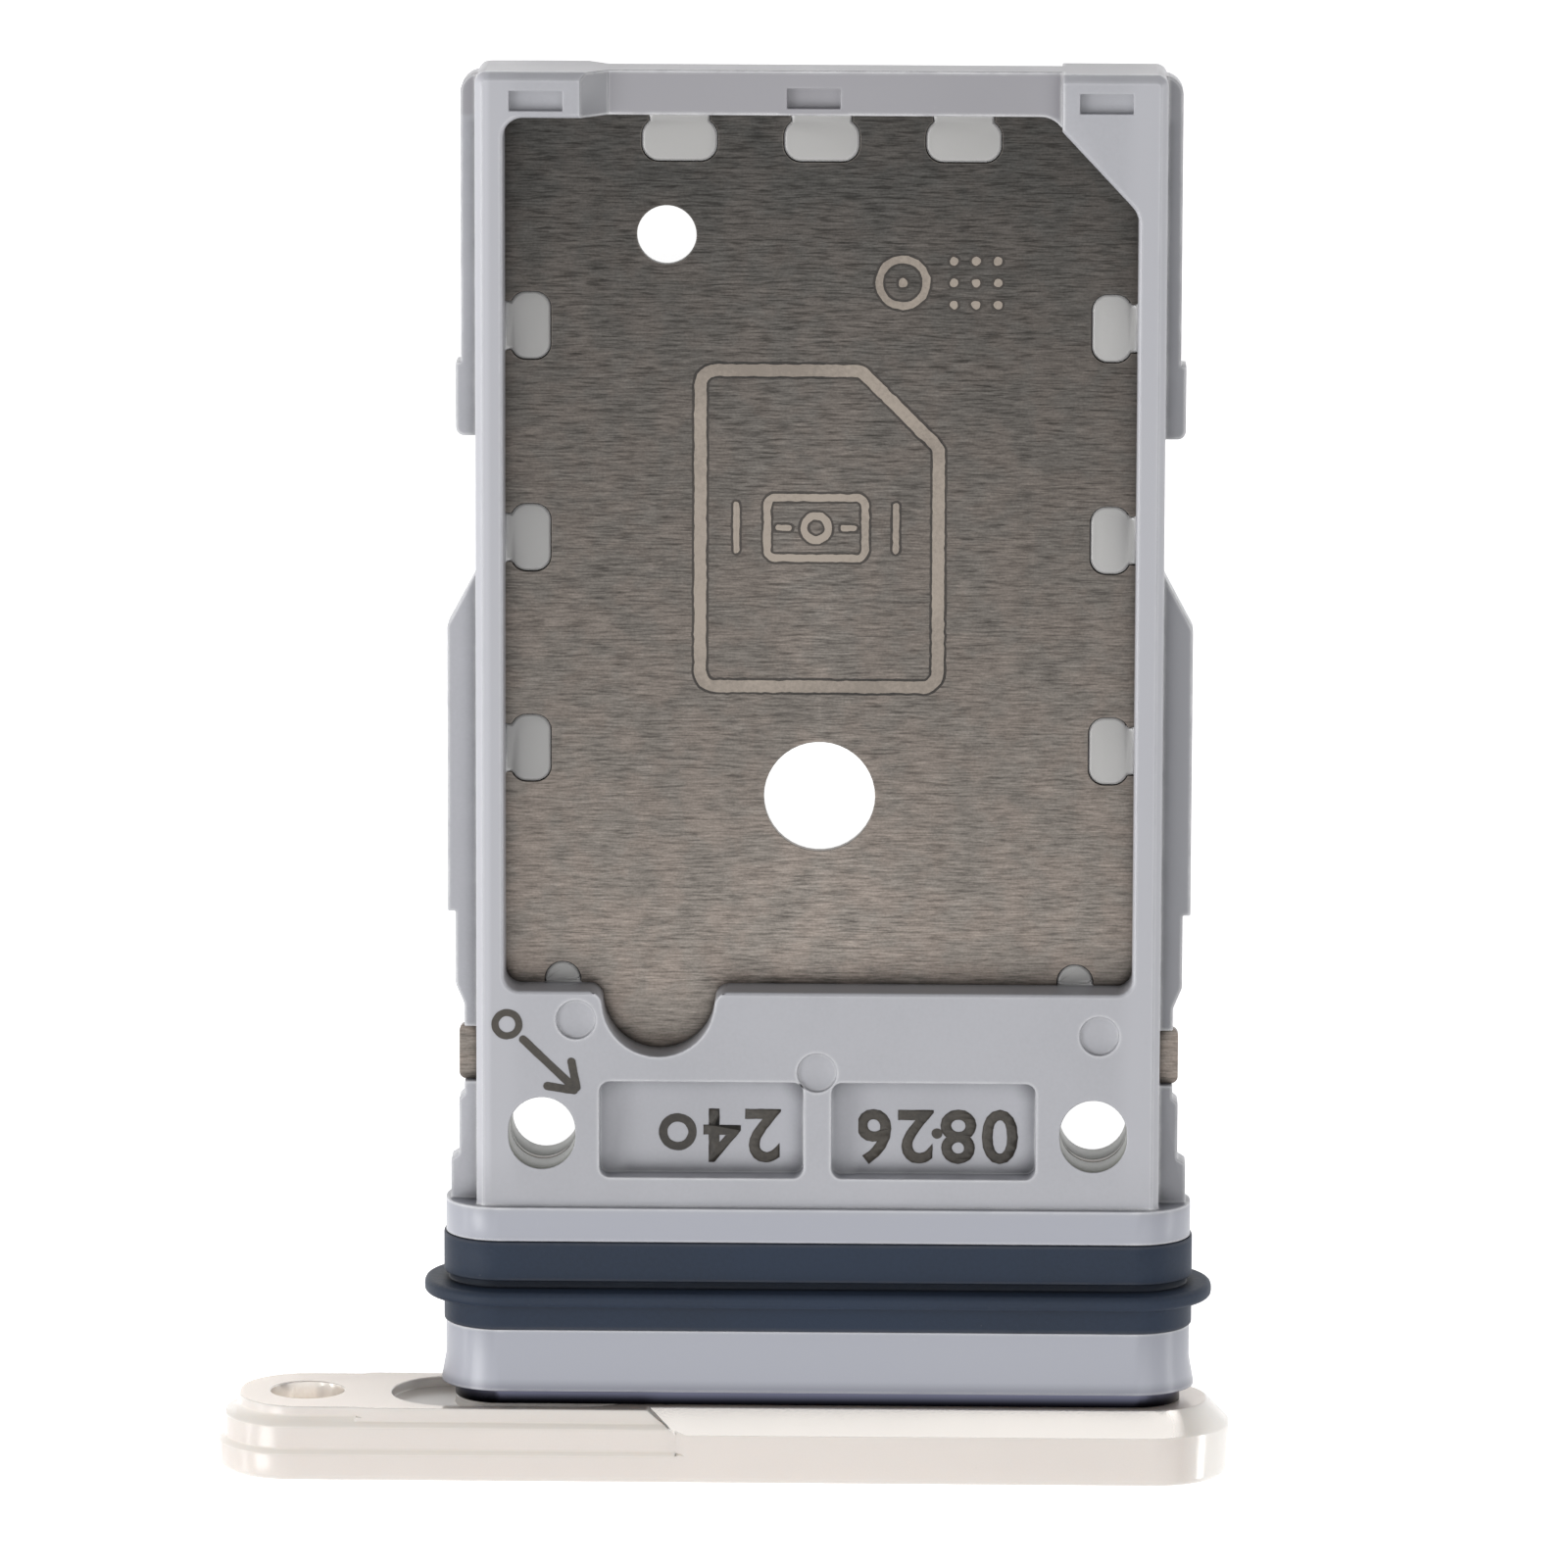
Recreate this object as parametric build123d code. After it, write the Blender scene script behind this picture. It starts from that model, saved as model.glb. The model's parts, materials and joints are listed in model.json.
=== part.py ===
"""Double-sided SIM card tray for a phone: metal bezel, moulded carrier, steel insert plate, rubber seal.

Units are millimetres. X runs along the bezel, +Y points to the tip that goes into the phone first and
+Z is up. The bezel is centred on X = 0, the whole tray is centred on Y = 0 and the bezel's lower side
lies on Z = 0. Carrier X values are measured from the carrier's own centre line. Names that end in
_from_tip, _from_top, _from_end and _from_plug are distances along Y from the tray's tip, the pocket's
tip end, the pocket's bezel end and the plug's front face.
"""

import math
import os

from build123d import *

# A nano card and the room it gets in its pocket.
card_w = 8.80
card_l = 12.30
card_t = 0.67
card_side_gap = 0.06
card_end_gap = 0.09
card_top_gap = 0.02

# Lengths along Y that add up, with the pocket, to the tray's length.
bezel_t = 1.05
plug_l = 2.90
block_l = 3.13
tip_bar_l = 0.64

# Bezel.
bezel_l = 14.52
bezel_h = 2.40
bezel_end_flat = 0.20
carrier_offset = 1.35
tier_depths = (0.24, 0.39)
tier_left_steps = (0.25, 0.10)
tier_right_steps = (0.07, 0.03)
tier_height_steps = (0.11, 0.055)
tier_slope_l = 0.07
bezel_chamfer = 0.34
bezel_chamfer_l = 8.12
bezel_chamfer_runout = 0.42
bezel_ramp_l = 0.13
bezel_outer_edge = 0.06
eject_r = 0.53
eject_from_end = 1.28
eject_end_step_l = 2.02
eject_end_step = 0.06
seat_recess_reach = 0.79
seat_recess_h = 1.80
seat_recess_depth = 0.14
tongue_w = 9.20
tongue_t = 0.70
tongue_l = 0.80
tongue_hole_r = 0.22
tongue_hole_xs = (-3.0, 3.0)

# Plug and seal.
plug_w = 10.65
plug_h = 1.74
plug_corner_r = 0.80
plug_flare = 0.07
plug_flare_l = 0.40
plug_root_gap_l = 0.22
plug_root_gap_depth = 0.20
seal_from_plug = 0.50
seal_l = 1.28
seal_sink = 0.14
seal_proud = 0.03
lip_from_front = 0.68
lip_t = 0.22
lip_h = 0.28
lip_edge_r = 0.09
lip_root_groove_l = 0.11
lip_root_groove_depth = 0.08

# Rails and tip of the carrier.
rail_w = 0.40
tier_corner_r = 0.16
tier_edge = 0.10
tip_bar_drop = 0.43
tip_block_w = 1.48
tip_slope_w = 0.38
pocket_corner_r = 0.22
pocket_corner_big_r = 0.28
pocket_chamfer = (1.23, 1.31)
pocket_chamfer_r = 0.35
rim_chamfer = 0.035
gate_l = 0.75
gate_w = 0.28
gate_depth = 0.13
gate_from_tip = 0.40
gate_from_rail_side = 0.86
gate_mid_x = -0.11

# Side flanges: how far each stretch stands out from the rail, and where it starts or ends.
flange_t = 0.52
flange_tip_gap = 0.06
flange_corner_r = 0.28
tip_flange_reach = 0.22
latch_flange_reach = 0.295
main_flange_reach = 0.425
end_flange_reach = 0.315
neck_reach = 0.19
block_flange_reach = 0.27
root_flange_reach = 0.385
latch_flange_from_tip = 4.17
notch_from_tip = 5.22
notch_l = 1.93
notch_corner_r = 0.12
main_flange_ramp_l = 0.79
main_flange_ramp_r = 0.15
main_flange_from_end = 1.05
neck_ramp_l = 0.30
block_flange_from_plug = 1.45
root_flange_from_plug = 0.57
flange_step_l = 0.07

# Block behind the pocket.
thumb_x = -2.27
thumb_r = 0.80
thumb_sink = 0.14
thumb_lead_r = 0.20
window_l = 2.905
window_w = 1.39
window_depth = 0.38
window_corner_r = 0.15
window_from_plug = 1.13
window_gap = 0.40
window_ramp_l = 0.40
window_ramp_h = 0.14
drain_r = 0.475
drain_stretch = 0.09
drain_from_edge = 0.935
drain_from_plug = 1.07
pin_mark_r = 0.28
pin_mark_depth = 0.06
pin_marks_from_end = ((-3.44, 0.41), (4.0, 0.60), (-0.01, 1.16))

# Steel insert plate.
plate_t = 0.18
plate_grip = 0.17
plate_top_grip = 0.34
plate_from_seat = 1.10
plate_tail_half_w = 4.10
plate_key_sink = 0.02
plate_corner_cut = 0.50
key_corner_share = 0.36
ear_reach = 0.27
ear_l = 0.80
ear_from_plug = 1.71
ear_corner_r = 0.10
small_hole_r = 0.42
small_hole_x = -2.18
small_hole_from_top = 1.73
large_hole_r = 0.79
large_hole_from_top = 9.77
top_key_w = 1.08
top_key_l = 0.69
top_key_neck = 0.87
top_key_pitch = 2.00
side_key_w = 0.98
side_key_l = 0.65
side_key_neck = 0.70
side_key_pitch = 3.03
end_key_w = 0.52
end_key_l = 0.30
end_key_x = 3.65

# Values that follow from the ones above.
pocket_w = card_w + 2 * card_side_gap
pocket_l = card_l + 2 * card_end_gap
pocket_depth = card_t + card_top_gap
overall_l = bezel_t + plug_l + block_l + pocket_l + tip_bar_l
carrier_t = plate_t + 2 * pocket_depth
mid_z = bezel_h / 2
bezel_corner_r = (bezel_h - bezel_end_flat) / 2
z_top = mid_z + carrier_t / 2
z_bottom = mid_z - carrier_t / 2
y_out = -overall_l / 2
y_seat = y_out + bezel_t
plug_front = y_seat + plug_l
pocket_end = plug_front + block_l
pocket_top = pocket_end + pocket_l
y_tip = pocket_top + tip_bar_l
seal_y = plug_front - seal_from_plug
lip_y = seal_y - lip_from_front
pocket_half = pocket_w / 2
rail_side = pocket_half + rail_w
tip_bar_half = rail_side - tip_block_w
drain_x = rail_side - drain_from_edge
drain_y = plug_front + drain_from_plug
ear_y = plug_front + ear_from_plug


def profile(corners):
    """Closed face through (x, y, corner radius) points, placed on the carrier's centre line."""
    points = [Vector(carrier_offset + x, y) for x, y, _ in corners]
    edges = []
    ends = []
    for index, (_, _, radius) in enumerate(corners):
        here = points[index]
        if radius == 0:
            ends.append((here, here))
            continue
        back = (points[index - 1] - here).normalized()
        ahead = (points[(index + 1) % len(points)] - here).normalized()
        half = math.acos(max(-1.0, min(1.0, back.dot(ahead)))) / 2
        cut = radius / math.tan(half)
        start = here + back * cut
        stop = here + ahead * cut
        middle = here + (back + ahead).normalized() * (radius / math.sin(half) - radius)
        edges.append(ThreePointArc(start, middle, stop))
        ends.append((start, stop))
    for index, (start, _) in enumerate(ends):
        edges.append(Line(ends[index - 1][1], start))
    return make_face(edges)


def mirrored(half):
    """Full closed outline from its right half, given from the tip down to the bezel."""
    return half + [(-x, y, radius) for x, y, radius in reversed(half)]


def slab(corners, low, high):
    """Straight prism of a plan outline between two heights."""
    return extrude(Pos(0, 0, low) * profile(corners), high - low)


def plan_box(x0, x1, y0, y1, radius, low, high):
    """Prism of a rounded plan rectangle between two heights."""
    corners = [(x0, y0, radius), (x1, y0, radius), (x1, y1, radius), (x0, y1, radius)]
    return slab(corners, low, high)


def plan_disc(x, y, radius, low, high):
    """Upright cylinder between two heights."""
    return Pos(carrier_offset + x, y, (low + high) / 2) * Cylinder(radius, high - low)


def bar_face(width, height, radius, y, centre=carrier_offset):
    """Rounded rectangle across the Y axis, its face turned to the bezel."""
    plane = Plane(origin=(centre, y, mid_z), x_dir=(1, 0, 0), z_dir=(0, -1, 0))
    return plane * RectangleRounded(width, height, radius)


def bar(width, height, radius, front, back, centre=carrier_offset):
    """Rounded bar that runs along Y from its front end back to the bezel."""
    return extrude(bar_face(width, height, radius, front, centre), front - back)


def both_sides(shape):
    """The shape and its mirror image below the carrier's middle plane."""
    return shape + mirror(shape, Plane(origin=(0, 0, mid_z), z_dir=(0, 0, 1)))


def pocket_corners():
    """Outline of one card pocket with the card's cut corner at the tip."""
    cut_x, cut_y = pocket_chamfer
    return [
        (-pocket_half, pocket_end, pocket_corner_r),
        (pocket_half, pocket_end, pocket_corner_r),
        (pocket_half, pocket_top - cut_y, pocket_chamfer_r),
        (pocket_half - cut_x, pocket_top, pocket_chamfer_r),
        (-pocket_half, pocket_top, pocket_corner_big_r),
    ]


def thumb_face(height):
    """Finger notch in the pocket's bezel end: a round bay with two led-in corners."""
    y_centre = pocket_end - thumb_sink
    disc = Pos(carrier_offset + thumb_x, y_centre, height) * Circle(thumb_r)
    mouth_half = thumb_r + thumb_lead_r
    mouth = Pos(carrier_offset + thumb_x, pocket_end - thumb_lead_r / 2 + 0.1, height) * Rectangle(
        2 * mouth_half, thumb_lead_r + 0.2
    )
    for side in (-1, 1):
        corner = Pos(carrier_offset + thumb_x + side * mouth_half, pocket_end - thumb_lead_r, height)
        mouth -= corner * Circle(thumb_lead_r)
    return disc + mouth


def key_outline(width, length, neck, reach):
    """Moulding key seen in plan, growing along +Y from the pocket's wall into the pocket."""
    radius = min(width, length) * key_corner_share
    head = Pos(0, length / 2 + length * 0.05) * RectangleRounded(width, length * 0.9, radius)
    stem = Pos(0, (length / 2 - reach) / 2) * Rectangle(neck, length / 2 + reach)
    return head + stem


def key_places():
    """Face of each moulding key, in place on the plate."""
    root = plate_grip + plate_top_grip
    top_key = key_outline(top_key_w, top_key_l, top_key_neck, root)
    side_key = key_outline(side_key_w, side_key_l, side_key_neck, root)
    places = []
    for step in (-1, 0, 1):
        places.append(Pos(carrier_offset + step * top_key_pitch, pocket_top) * Rot(0, 0, 180) * top_key)
    for step in (1, 2, 3):
        y = pocket_top - step * side_key_pitch
        for side in (-1, 1):
            places.append(Pos(carrier_offset + side * pocket_half, y) * Rot(0, 0, side * 90) * side_key)
    for side in (-1, 1):
        x = carrier_offset + side * end_key_x
        head = Pos(x, pocket_end + end_key_l - end_key_w / 2) * Circle(end_key_w / 2)
        stem = Pos(x, pocket_end - plate_grip / 2) * Rectangle(end_key_w, plate_grip + 0.1)
        places.append(head + stem)
    return places


def drain_hole(low, high):
    """Stretched round hole, one on each side of the block behind the pocket."""
    holes = []
    for side in (-1, 1):
        for shift in (-drain_stretch / 2, drain_stretch / 2):
            holes.append(plan_disc(side * drain_x, drain_y + shift, drain_r, low, high))
        holes.append(
            Pos(carrier_offset + side * drain_x, drain_y, (low + high) / 2)
            * Box(2 * drain_r, drain_stretch, high - low)
        )
    return Part() + holes


def make_plate():
    """Steel insert plate with ears, two holes and the notches that the plastic fills."""
    half = pocket_half + plate_grip
    corner = plate_corner_cut
    outline = mirrored(
        [
            (half - corner, pocket_top + plate_top_grip, 0),
            (half, pocket_top + plate_top_grip - corner, 0),
            (half, ear_y + ear_l, 0),
            (rail_side + ear_reach, ear_y + ear_l, ear_corner_r),
            (rail_side + ear_reach, ear_y, ear_corner_r),
            (half, ear_y, 0),
            (half, plug_front, 0),
            (plate_tail_half_w, plug_front - corner, 0),
            (plate_tail_half_w, y_seat + plate_from_seat, 0),
        ]
    )
    low = mid_z - plate_t / 2
    high = mid_z + plate_t / 2
    plate = slab(outline, low, high)
    plate -= plan_disc(small_hole_x, pocket_top - small_hole_from_top, small_hole_r, low, high)
    plate -= plan_disc(0, pocket_top - large_hole_from_top, large_hole_r, low, high)
    plate -= drain_hole(low, high)
    for face in key_places():
        plate -= extrude(Pos(0, 0, low) * face, plate_t)
    return plate


def tier_face(tier, y, inset=0):
    """Section of the bezel's inner side at one of its two tiers, or its full section past them."""
    steps = list(zip(tier_left_steps, tier_right_steps, tier_height_steps))
    left_step, right_step, height_step = (steps + [(0, 0, 0)])[tier]
    width = bezel_l - left_step - right_step - 2 * inset
    height = bezel_h - 2 * (height_step + inset)
    radius = bezel_corner_r - height_step - inset
    return bar_face(width, height, radius, y, (left_step - right_step) / 2)


def tiered_body():
    """Bezel whose inner side rises in two tiers, each with a short slope at its end."""
    body = Part()
    front = y_seat
    for tier, reach in enumerate((tier_depths[0], sum(tier_depths))):
        slope_front = y_seat - reach + tier_slope_l / 2
        slope_back = y_seat - reach - tier_slope_l / 2
        body += extrude(tier_face(tier, front), front - slope_front)
        body += loft([tier_face(tier, slope_front), tier_face(tier + 1, slope_back)], ruled=True)
        front = slope_back
    return body + extrude(tier_face(2, front), front - y_out)


def bevel_zone():
    """Space of the bezel's bevelled stretch, which starts at the bevel's slanting run-out."""
    start = bezel_l / 2 - bezel_chamfer_l
    slant = bezel_chamfer_runout / bezel_chamfer
    over = 0.1
    corners = [
        (start - bezel_chamfer_runout / 2 - slant * over, y_seat + over),
        (start + bezel_chamfer_runout / 2, y_seat - bezel_chamfer),
        (start + bezel_chamfer_runout / 2, y_out - over),
        (bezel_l / 2 + over, y_out - over),
        (bezel_l / 2 + over, y_seat + over),
    ]
    outline = make_face(Polyline(*corners, close=True))
    return extrude(Pos(0, 0, -over) * outline, bezel_h + 2 * over)


def ramp_cut(x, low, high, front, back):
    """What a short slope up along X leaves free on the bezel's top and underside."""
    over = 0.05
    points = [(x, front, low), (x + bezel_ramp_l, front, high), (x + bezel_ramp_l, front, high + over)]
    points.append((x, front, high + over))
    return both_sides(extrude(make_face(Polyline(*points, close=True)), front - back, dir=(0, -1, 0)))


def end_zone_cut():
    """What the first tier's end round the eject hole, a little lower than its rest, leaves free."""
    left = -bezel_l / 2
    over = 0.1
    slope_back = y_seat - tier_depths[0] + tier_slope_l / 2
    slope_front = slope_back + tier_slope_l
    low_end = extrude(tier_face(0, y_seat + over, eject_end_step), y_seat + over - slope_front)
    low_end += loft([tier_face(0, slope_front, eject_end_step), tier_face(0, slope_back)], ruled=True)
    zone = Pos(left + eject_end_step_l / 2, y_seat, mid_z) * Box(
        eject_end_step_l, 2 * (y_seat - slope_back), 2 * bezel_h
    )
    tier_top = bezel_h - tier_height_steps[0]
    ramp = ramp_cut(left + eject_end_step_l, tier_top - eject_end_step, tier_top, y_seat, slope_front)
    return zone - low_end + ramp


def make_bezel():
    """Outer metal strip: pill section with tiered inner side, bevelled stretch, eject hole and buried tongue."""
    left = -bezel_l / 2
    middle_y = (y_seat + y_out) / 2
    plain = bar(bezel_l, bezel_h, bezel_corner_r, y_seat, y_out, 0)
    plain = chamfer(plain.edges().group_by(Axis.Y)[0], bezel_outer_edge)
    bevelled = chamfer(plain.edges().group_by(Axis.Y)[-1], bezel_chamfer)
    bevelled &= bevel_zone()
    bezel = (tiered_body() & plain) - bevel_zone() + bevelled
    tier_top = bezel_h - tier_height_steps[1]
    bezel -= ramp_cut(
        bezel_l / 2 - bezel_chamfer_l + bezel_chamfer_runout / 2,
        tier_top,
        bezel_h,
        y_seat,
        y_seat - sum(tier_depths),
    )
    bezel -= end_zone_cut()
    eject_hole = Pos(left + eject_from_end, middle_y, mid_z) * Rot(90, 0, 0) * Cylinder(eject_r, 2 * bezel_t)
    recess_left = carrier_offset - plug_w / 2 - seat_recess_reach
    recess_l = 2 * seat_recess_h
    recess = bar(
        recess_l,
        seat_recess_h,
        0.49 * seat_recess_h,
        y_seat,
        y_seat - seat_recess_depth,
        recess_left + recess_l / 2,
    )
    bezel -= eject_hole + (recess - plug_root(y_seat, y_out))
    tongue_back = y_seat - seat_recess_depth
    tongue_front = y_seat + tongue_l
    bezel += Pos(carrier_offset, (tongue_front + tongue_back) / 2, mid_z) * Box(
        tongue_w, tongue_front - tongue_back, tongue_t
    )
    for x in tongue_hole_xs:
        bezel -= plan_disc(x, y_seat + tongue_l / 2, tongue_hole_r, mid_z - tongue_t, mid_z + tongue_t)
    return bezel


def plug_root(front, back):
    """The plug's narrow end, which butts on the bezel and leaves a dark seam round it."""
    grow = 2 * (plug_flare - plug_root_gap_depth)
    return bar(plug_w + grow, plug_h + grow, plug_corner_r + grow / 2, front, back)


def make_seal():
    """Rubber band in the plug's groove with one raised sealing lip."""
    back = seal_y - seal_l
    grow = 2 * seal_proud
    band = bar(plug_w + grow, plug_h + grow, plug_corner_r + seal_proud, seal_y, back)
    lip_grow = grow + 2 * lip_h
    lip = bar(plug_w + lip_grow, plug_h + lip_grow, plug_corner_r + seal_proud + lip_h, lip_y, lip_y - lip_t)
    lip = fillet(lip.edges().group_by(Axis.Y)[0] + lip.edges().group_by(Axis.Y)[-1], lip_edge_r)
    root_front = lip_y + lip_root_groove_l
    root = bar(plug_w + lip_grow, plug_h + lip_grow, plug_corner_r, root_front, lip_y)
    shrink = grow - 2 * lip_root_groove_depth
    root -= bar(
        plug_w + shrink,
        plug_h + shrink,
        plug_corner_r + seal_proud - lip_root_groove_depth,
        root_front,
        lip_y,
    )
    ring = band - root + lip
    return ring - seal_core(seal_y, back)


def seal_core(front, back):
    """The plug's waist under the seal."""
    return bar(plug_w - 2 * seal_sink, plug_h - 2 * seal_sink, plug_corner_r - seal_sink, front, back)


def flange_outlines():
    """Plan outlines of the two stretches of side flange, apart at the latch notch."""
    inner = pocket_half
    tip = y_tip - flange_tip_gap
    latch = y_tip - latch_flange_from_tip
    notch_front = y_tip - notch_from_tip
    notch_back = notch_front - notch_l
    main_end = pocket_end + main_flange_from_end
    neck_front = pocket_end - neck_ramp_l
    block = plug_front + block_flange_from_plug
    root = plug_front + root_flange_from_plug
    front = [
        (rail_side + tip_flange_reach, tip, flange_corner_r),
        (rail_side + tip_flange_reach, latch, 0),
        (rail_side + latch_flange_reach, latch, 0),
        (rail_side + latch_flange_reach, notch_front, notch_corner_r),
        (inner, notch_front, 0),
    ]
    rear = [
        (inner, notch_back, 0),
        (rail_side, notch_back, 0),
        (rail_side + main_flange_reach, notch_back - main_flange_ramp_l, main_flange_ramp_r),
        (rail_side + main_flange_reach, main_end, 0),
        (rail_side + end_flange_reach, main_end, 0),
        (rail_side + end_flange_reach, pocket_end, notch_corner_r),
        (rail_side + neck_reach, neck_front, notch_corner_r),
        (rail_side + neck_reach, block + flange_step_l, 0),
        (rail_side + block_flange_reach, block, 0),
        (rail_side + block_flange_reach, root + flange_step_l, 0),
        (rail_side + root_flange_reach, root, 0),
        (rail_side + root_flange_reach, plug_front - seal_from_plug / 2, 0),
    ]
    return mirrored(front), mirrored(rear)


def make_plug():
    """Rounded plug behind the block, waisted under the seal and flared towards the bezel."""
    root_front = y_seat + plug_root_gap_l
    plug = bar(plug_w, plug_h, plug_corner_r, plug_front, root_front)
    plug += loft(
        [
            bar_face(plug_w, plug_h, plug_corner_r, root_front + plug_flare_l),
            bar_face(plug_w + 2 * plug_flare, plug_h + 2 * plug_flare, plug_corner_r + plug_flare, root_front),
        ]
    )
    plug += plug_root(root_front, y_seat)
    seal_back = seal_y - seal_l
    return plug - (bar(2 * plug_w, 2 * plug_h, plug_corner_r, seal_y, seal_back) - seal_core(seal_y, seal_back))


def pocket_cuts():
    """Upper card pocket with its bevelled rim and finger notch, and the step down along the tip bar."""
    floor = mid_z + plate_t / 2
    above = pocket_depth + 0.5
    pocket = profile(pocket_corners())
    cuts = extrude(Pos(0, 0, floor) * pocket, above)
    cuts += extrude(Pos(0, 0, z_top - rim_chamfer) * pocket, 1.5 * rim_chamfer, taper=-45)
    cuts += extrude(thumb_face(floor), above)
    drop_z = z_top - tip_bar_drop
    start = carrier_offset - tip_bar_half
    end = carrier_offset + tip_bar_half
    over = z_top + 0.3
    step = Polyline(
        (start, y_tip + 0.5, over),
        (start, y_tip + 0.5, z_top),
        (start + tip_slope_w, y_tip + 0.5, drop_z),
        (end, y_tip + 0.5, drop_z),
        (end, y_tip + 0.5, over),
        close=True,
    )
    return cuts + extrude(make_face(step), tip_bar_l + 0.8, dir=(0, -1, 0))


def window_cut(side):
    """One of the two shallow windows in the block, its floor rising to a ramp at the left."""
    middle = side * (window_l + window_gap) / 2
    x0 = middle - window_l / 2
    y0 = plug_front + window_from_plug - window_w / 2
    y1 = y0 + window_w
    floor = z_top - window_depth
    window = plan_box(x0, x0 + window_l, y0, y1, window_corner_r, floor, z_top + 0.1)
    foot = carrier_offset + x0 + window_ramp_l
    ramp = Polyline(
        (carrier_offset + x0 - 0.1, y1 + 0.1, floor - 0.1),
        (foot, y1 + 0.1, floor - 0.1),
        (foot, y1 + 0.1, floor),
        (carrier_offset + x0 - 0.1, y1 + 0.1, floor + window_ramp_h),
        close=True,
    )
    return window - extrude(make_face(ramp), window_w + 0.2, dir=(0, -1, 0))


def gate_cuts():
    """Three small moulding recesses along the tip bar."""
    block_x = rail_side - gate_from_rail_side
    places = [(-block_x, z_top), (gate_mid_x, z_top - tip_bar_drop), (block_x, z_top)]
    y = y_tip - gate_from_tip
    cuts = []
    for x, top in places:
        x0 = x - gate_l / 2
        cuts.append(plan_box(x0, x0 + gate_l, y - gate_w / 2, y + gate_w / 2, 0, top - gate_depth, top + 0.1))
    return cuts


def make_carrier(plate, bezel):
    """Moulded carrier: two card frames back to back, the block behind them and the sealing plug."""
    tier = slab(
        [
            (-rail_side, plug_front - seal_from_plug / 2, 0),
            (rail_side, plug_front - seal_from_plug / 2, 0),
            (rail_side, y_tip, tier_corner_r),
            (-rail_side, y_tip, tier_corner_r),
        ],
        z_bottom,
        z_top,
    )
    body = chamfer(tier.edges().group_by(Axis.Z)[-1] + tier.edges().group_by(Axis.Z)[0], tier_edge)
    for outline in flange_outlines():
        body += slab(outline, mid_z - flange_t / 2, mid_z + flange_t / 2)
    body += make_plug()
    body -= both_sides(pocket_cuts())
    body -= gate_cuts()
    for side in (-1, 1):
        body -= window_cut(side)
        gap = (side * rail_side, side * (rail_side + 2 * ear_reach))
        body -= plan_box(min(gap), max(gap), ear_y, ear_y + ear_l, 0, z_bottom, z_top)
    for x, back in pin_marks_from_end:
        body -= plan_disc(x, pocket_end - back, pin_mark_r, z_top - pin_mark_depth, z_top + 0.1)
    body -= drain_hole(z_bottom - 0.1, z_top + 0.1)

    key_low = mid_z - plate_t / 2 + plate_key_sink
    zone = extrude(Pos(0, 0, key_low) * profile(pocket_corners()), plate_t - 2 * plate_key_sink)
    window_zone = extrude(Pos(0, 0, mid_z - plate_t / 2) * profile(pocket_corners()), plate_t)
    window_zone += extrude(thumb_face(mid_z - plate_t / 2), plate_t)
    body -= window_zone
    for face in key_places():
        body += extrude(Pos(0, 0, key_low) * face, plate_t - 2 * plate_key_sink) & zone
    body -= plate
    body -= bezel
    return body


plate = make_plate()
bezel = make_bezel()
seal = make_seal()
carrier = make_carrier(plate, bezel)

os.makedirs("parts", exist_ok=True)
export_step(bezel, "parts/bezel.step")
export_step(carrier, "parts/carrier_frame.step")
export_step(plate, "parts/steel_plate.step")
export_step(seal, "parts/seal_ring.step")
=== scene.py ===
import json
import math

import bmesh
import bpy
from bpy.props import FloatProperty, FloatVectorProperty, PointerProperty
from bpy.types import Operator, Panel, PropertyGroup
from mathutils import Matrix, Vector, noise

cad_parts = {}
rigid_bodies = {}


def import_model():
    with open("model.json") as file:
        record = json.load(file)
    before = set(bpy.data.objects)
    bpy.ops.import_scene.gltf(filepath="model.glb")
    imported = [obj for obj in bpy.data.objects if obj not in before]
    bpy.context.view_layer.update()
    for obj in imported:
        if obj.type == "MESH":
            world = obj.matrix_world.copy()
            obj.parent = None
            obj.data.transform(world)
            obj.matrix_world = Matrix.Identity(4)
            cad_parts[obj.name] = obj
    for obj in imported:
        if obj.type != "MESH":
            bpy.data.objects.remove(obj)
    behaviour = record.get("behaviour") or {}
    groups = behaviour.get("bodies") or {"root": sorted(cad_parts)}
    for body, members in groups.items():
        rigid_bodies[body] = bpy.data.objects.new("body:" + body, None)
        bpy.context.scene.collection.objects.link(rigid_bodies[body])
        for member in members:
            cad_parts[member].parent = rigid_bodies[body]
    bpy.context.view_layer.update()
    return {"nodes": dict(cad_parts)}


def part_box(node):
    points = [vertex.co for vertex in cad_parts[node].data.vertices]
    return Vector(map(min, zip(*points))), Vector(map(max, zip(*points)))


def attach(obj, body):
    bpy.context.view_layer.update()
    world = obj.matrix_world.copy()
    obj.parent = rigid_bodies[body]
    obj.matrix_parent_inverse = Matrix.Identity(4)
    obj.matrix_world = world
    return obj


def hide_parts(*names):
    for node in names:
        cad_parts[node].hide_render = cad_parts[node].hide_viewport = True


for leftover in list(bpy.data.objects):
    bpy.data.objects.remove(leftover)
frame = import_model()

bl_info = {
    "name": "SIM card tray",
    "version": (1, 0, 0),
    "blender": (4, 5, 0),
    "location": "3D View > Sidebar > Card Tray",
    "description": "Finishes the pieces of a double-sided SIM card tray and lights them on a pale table",
    "category": "Object",
}

MM = 0.001
BODY = "root"

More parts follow.
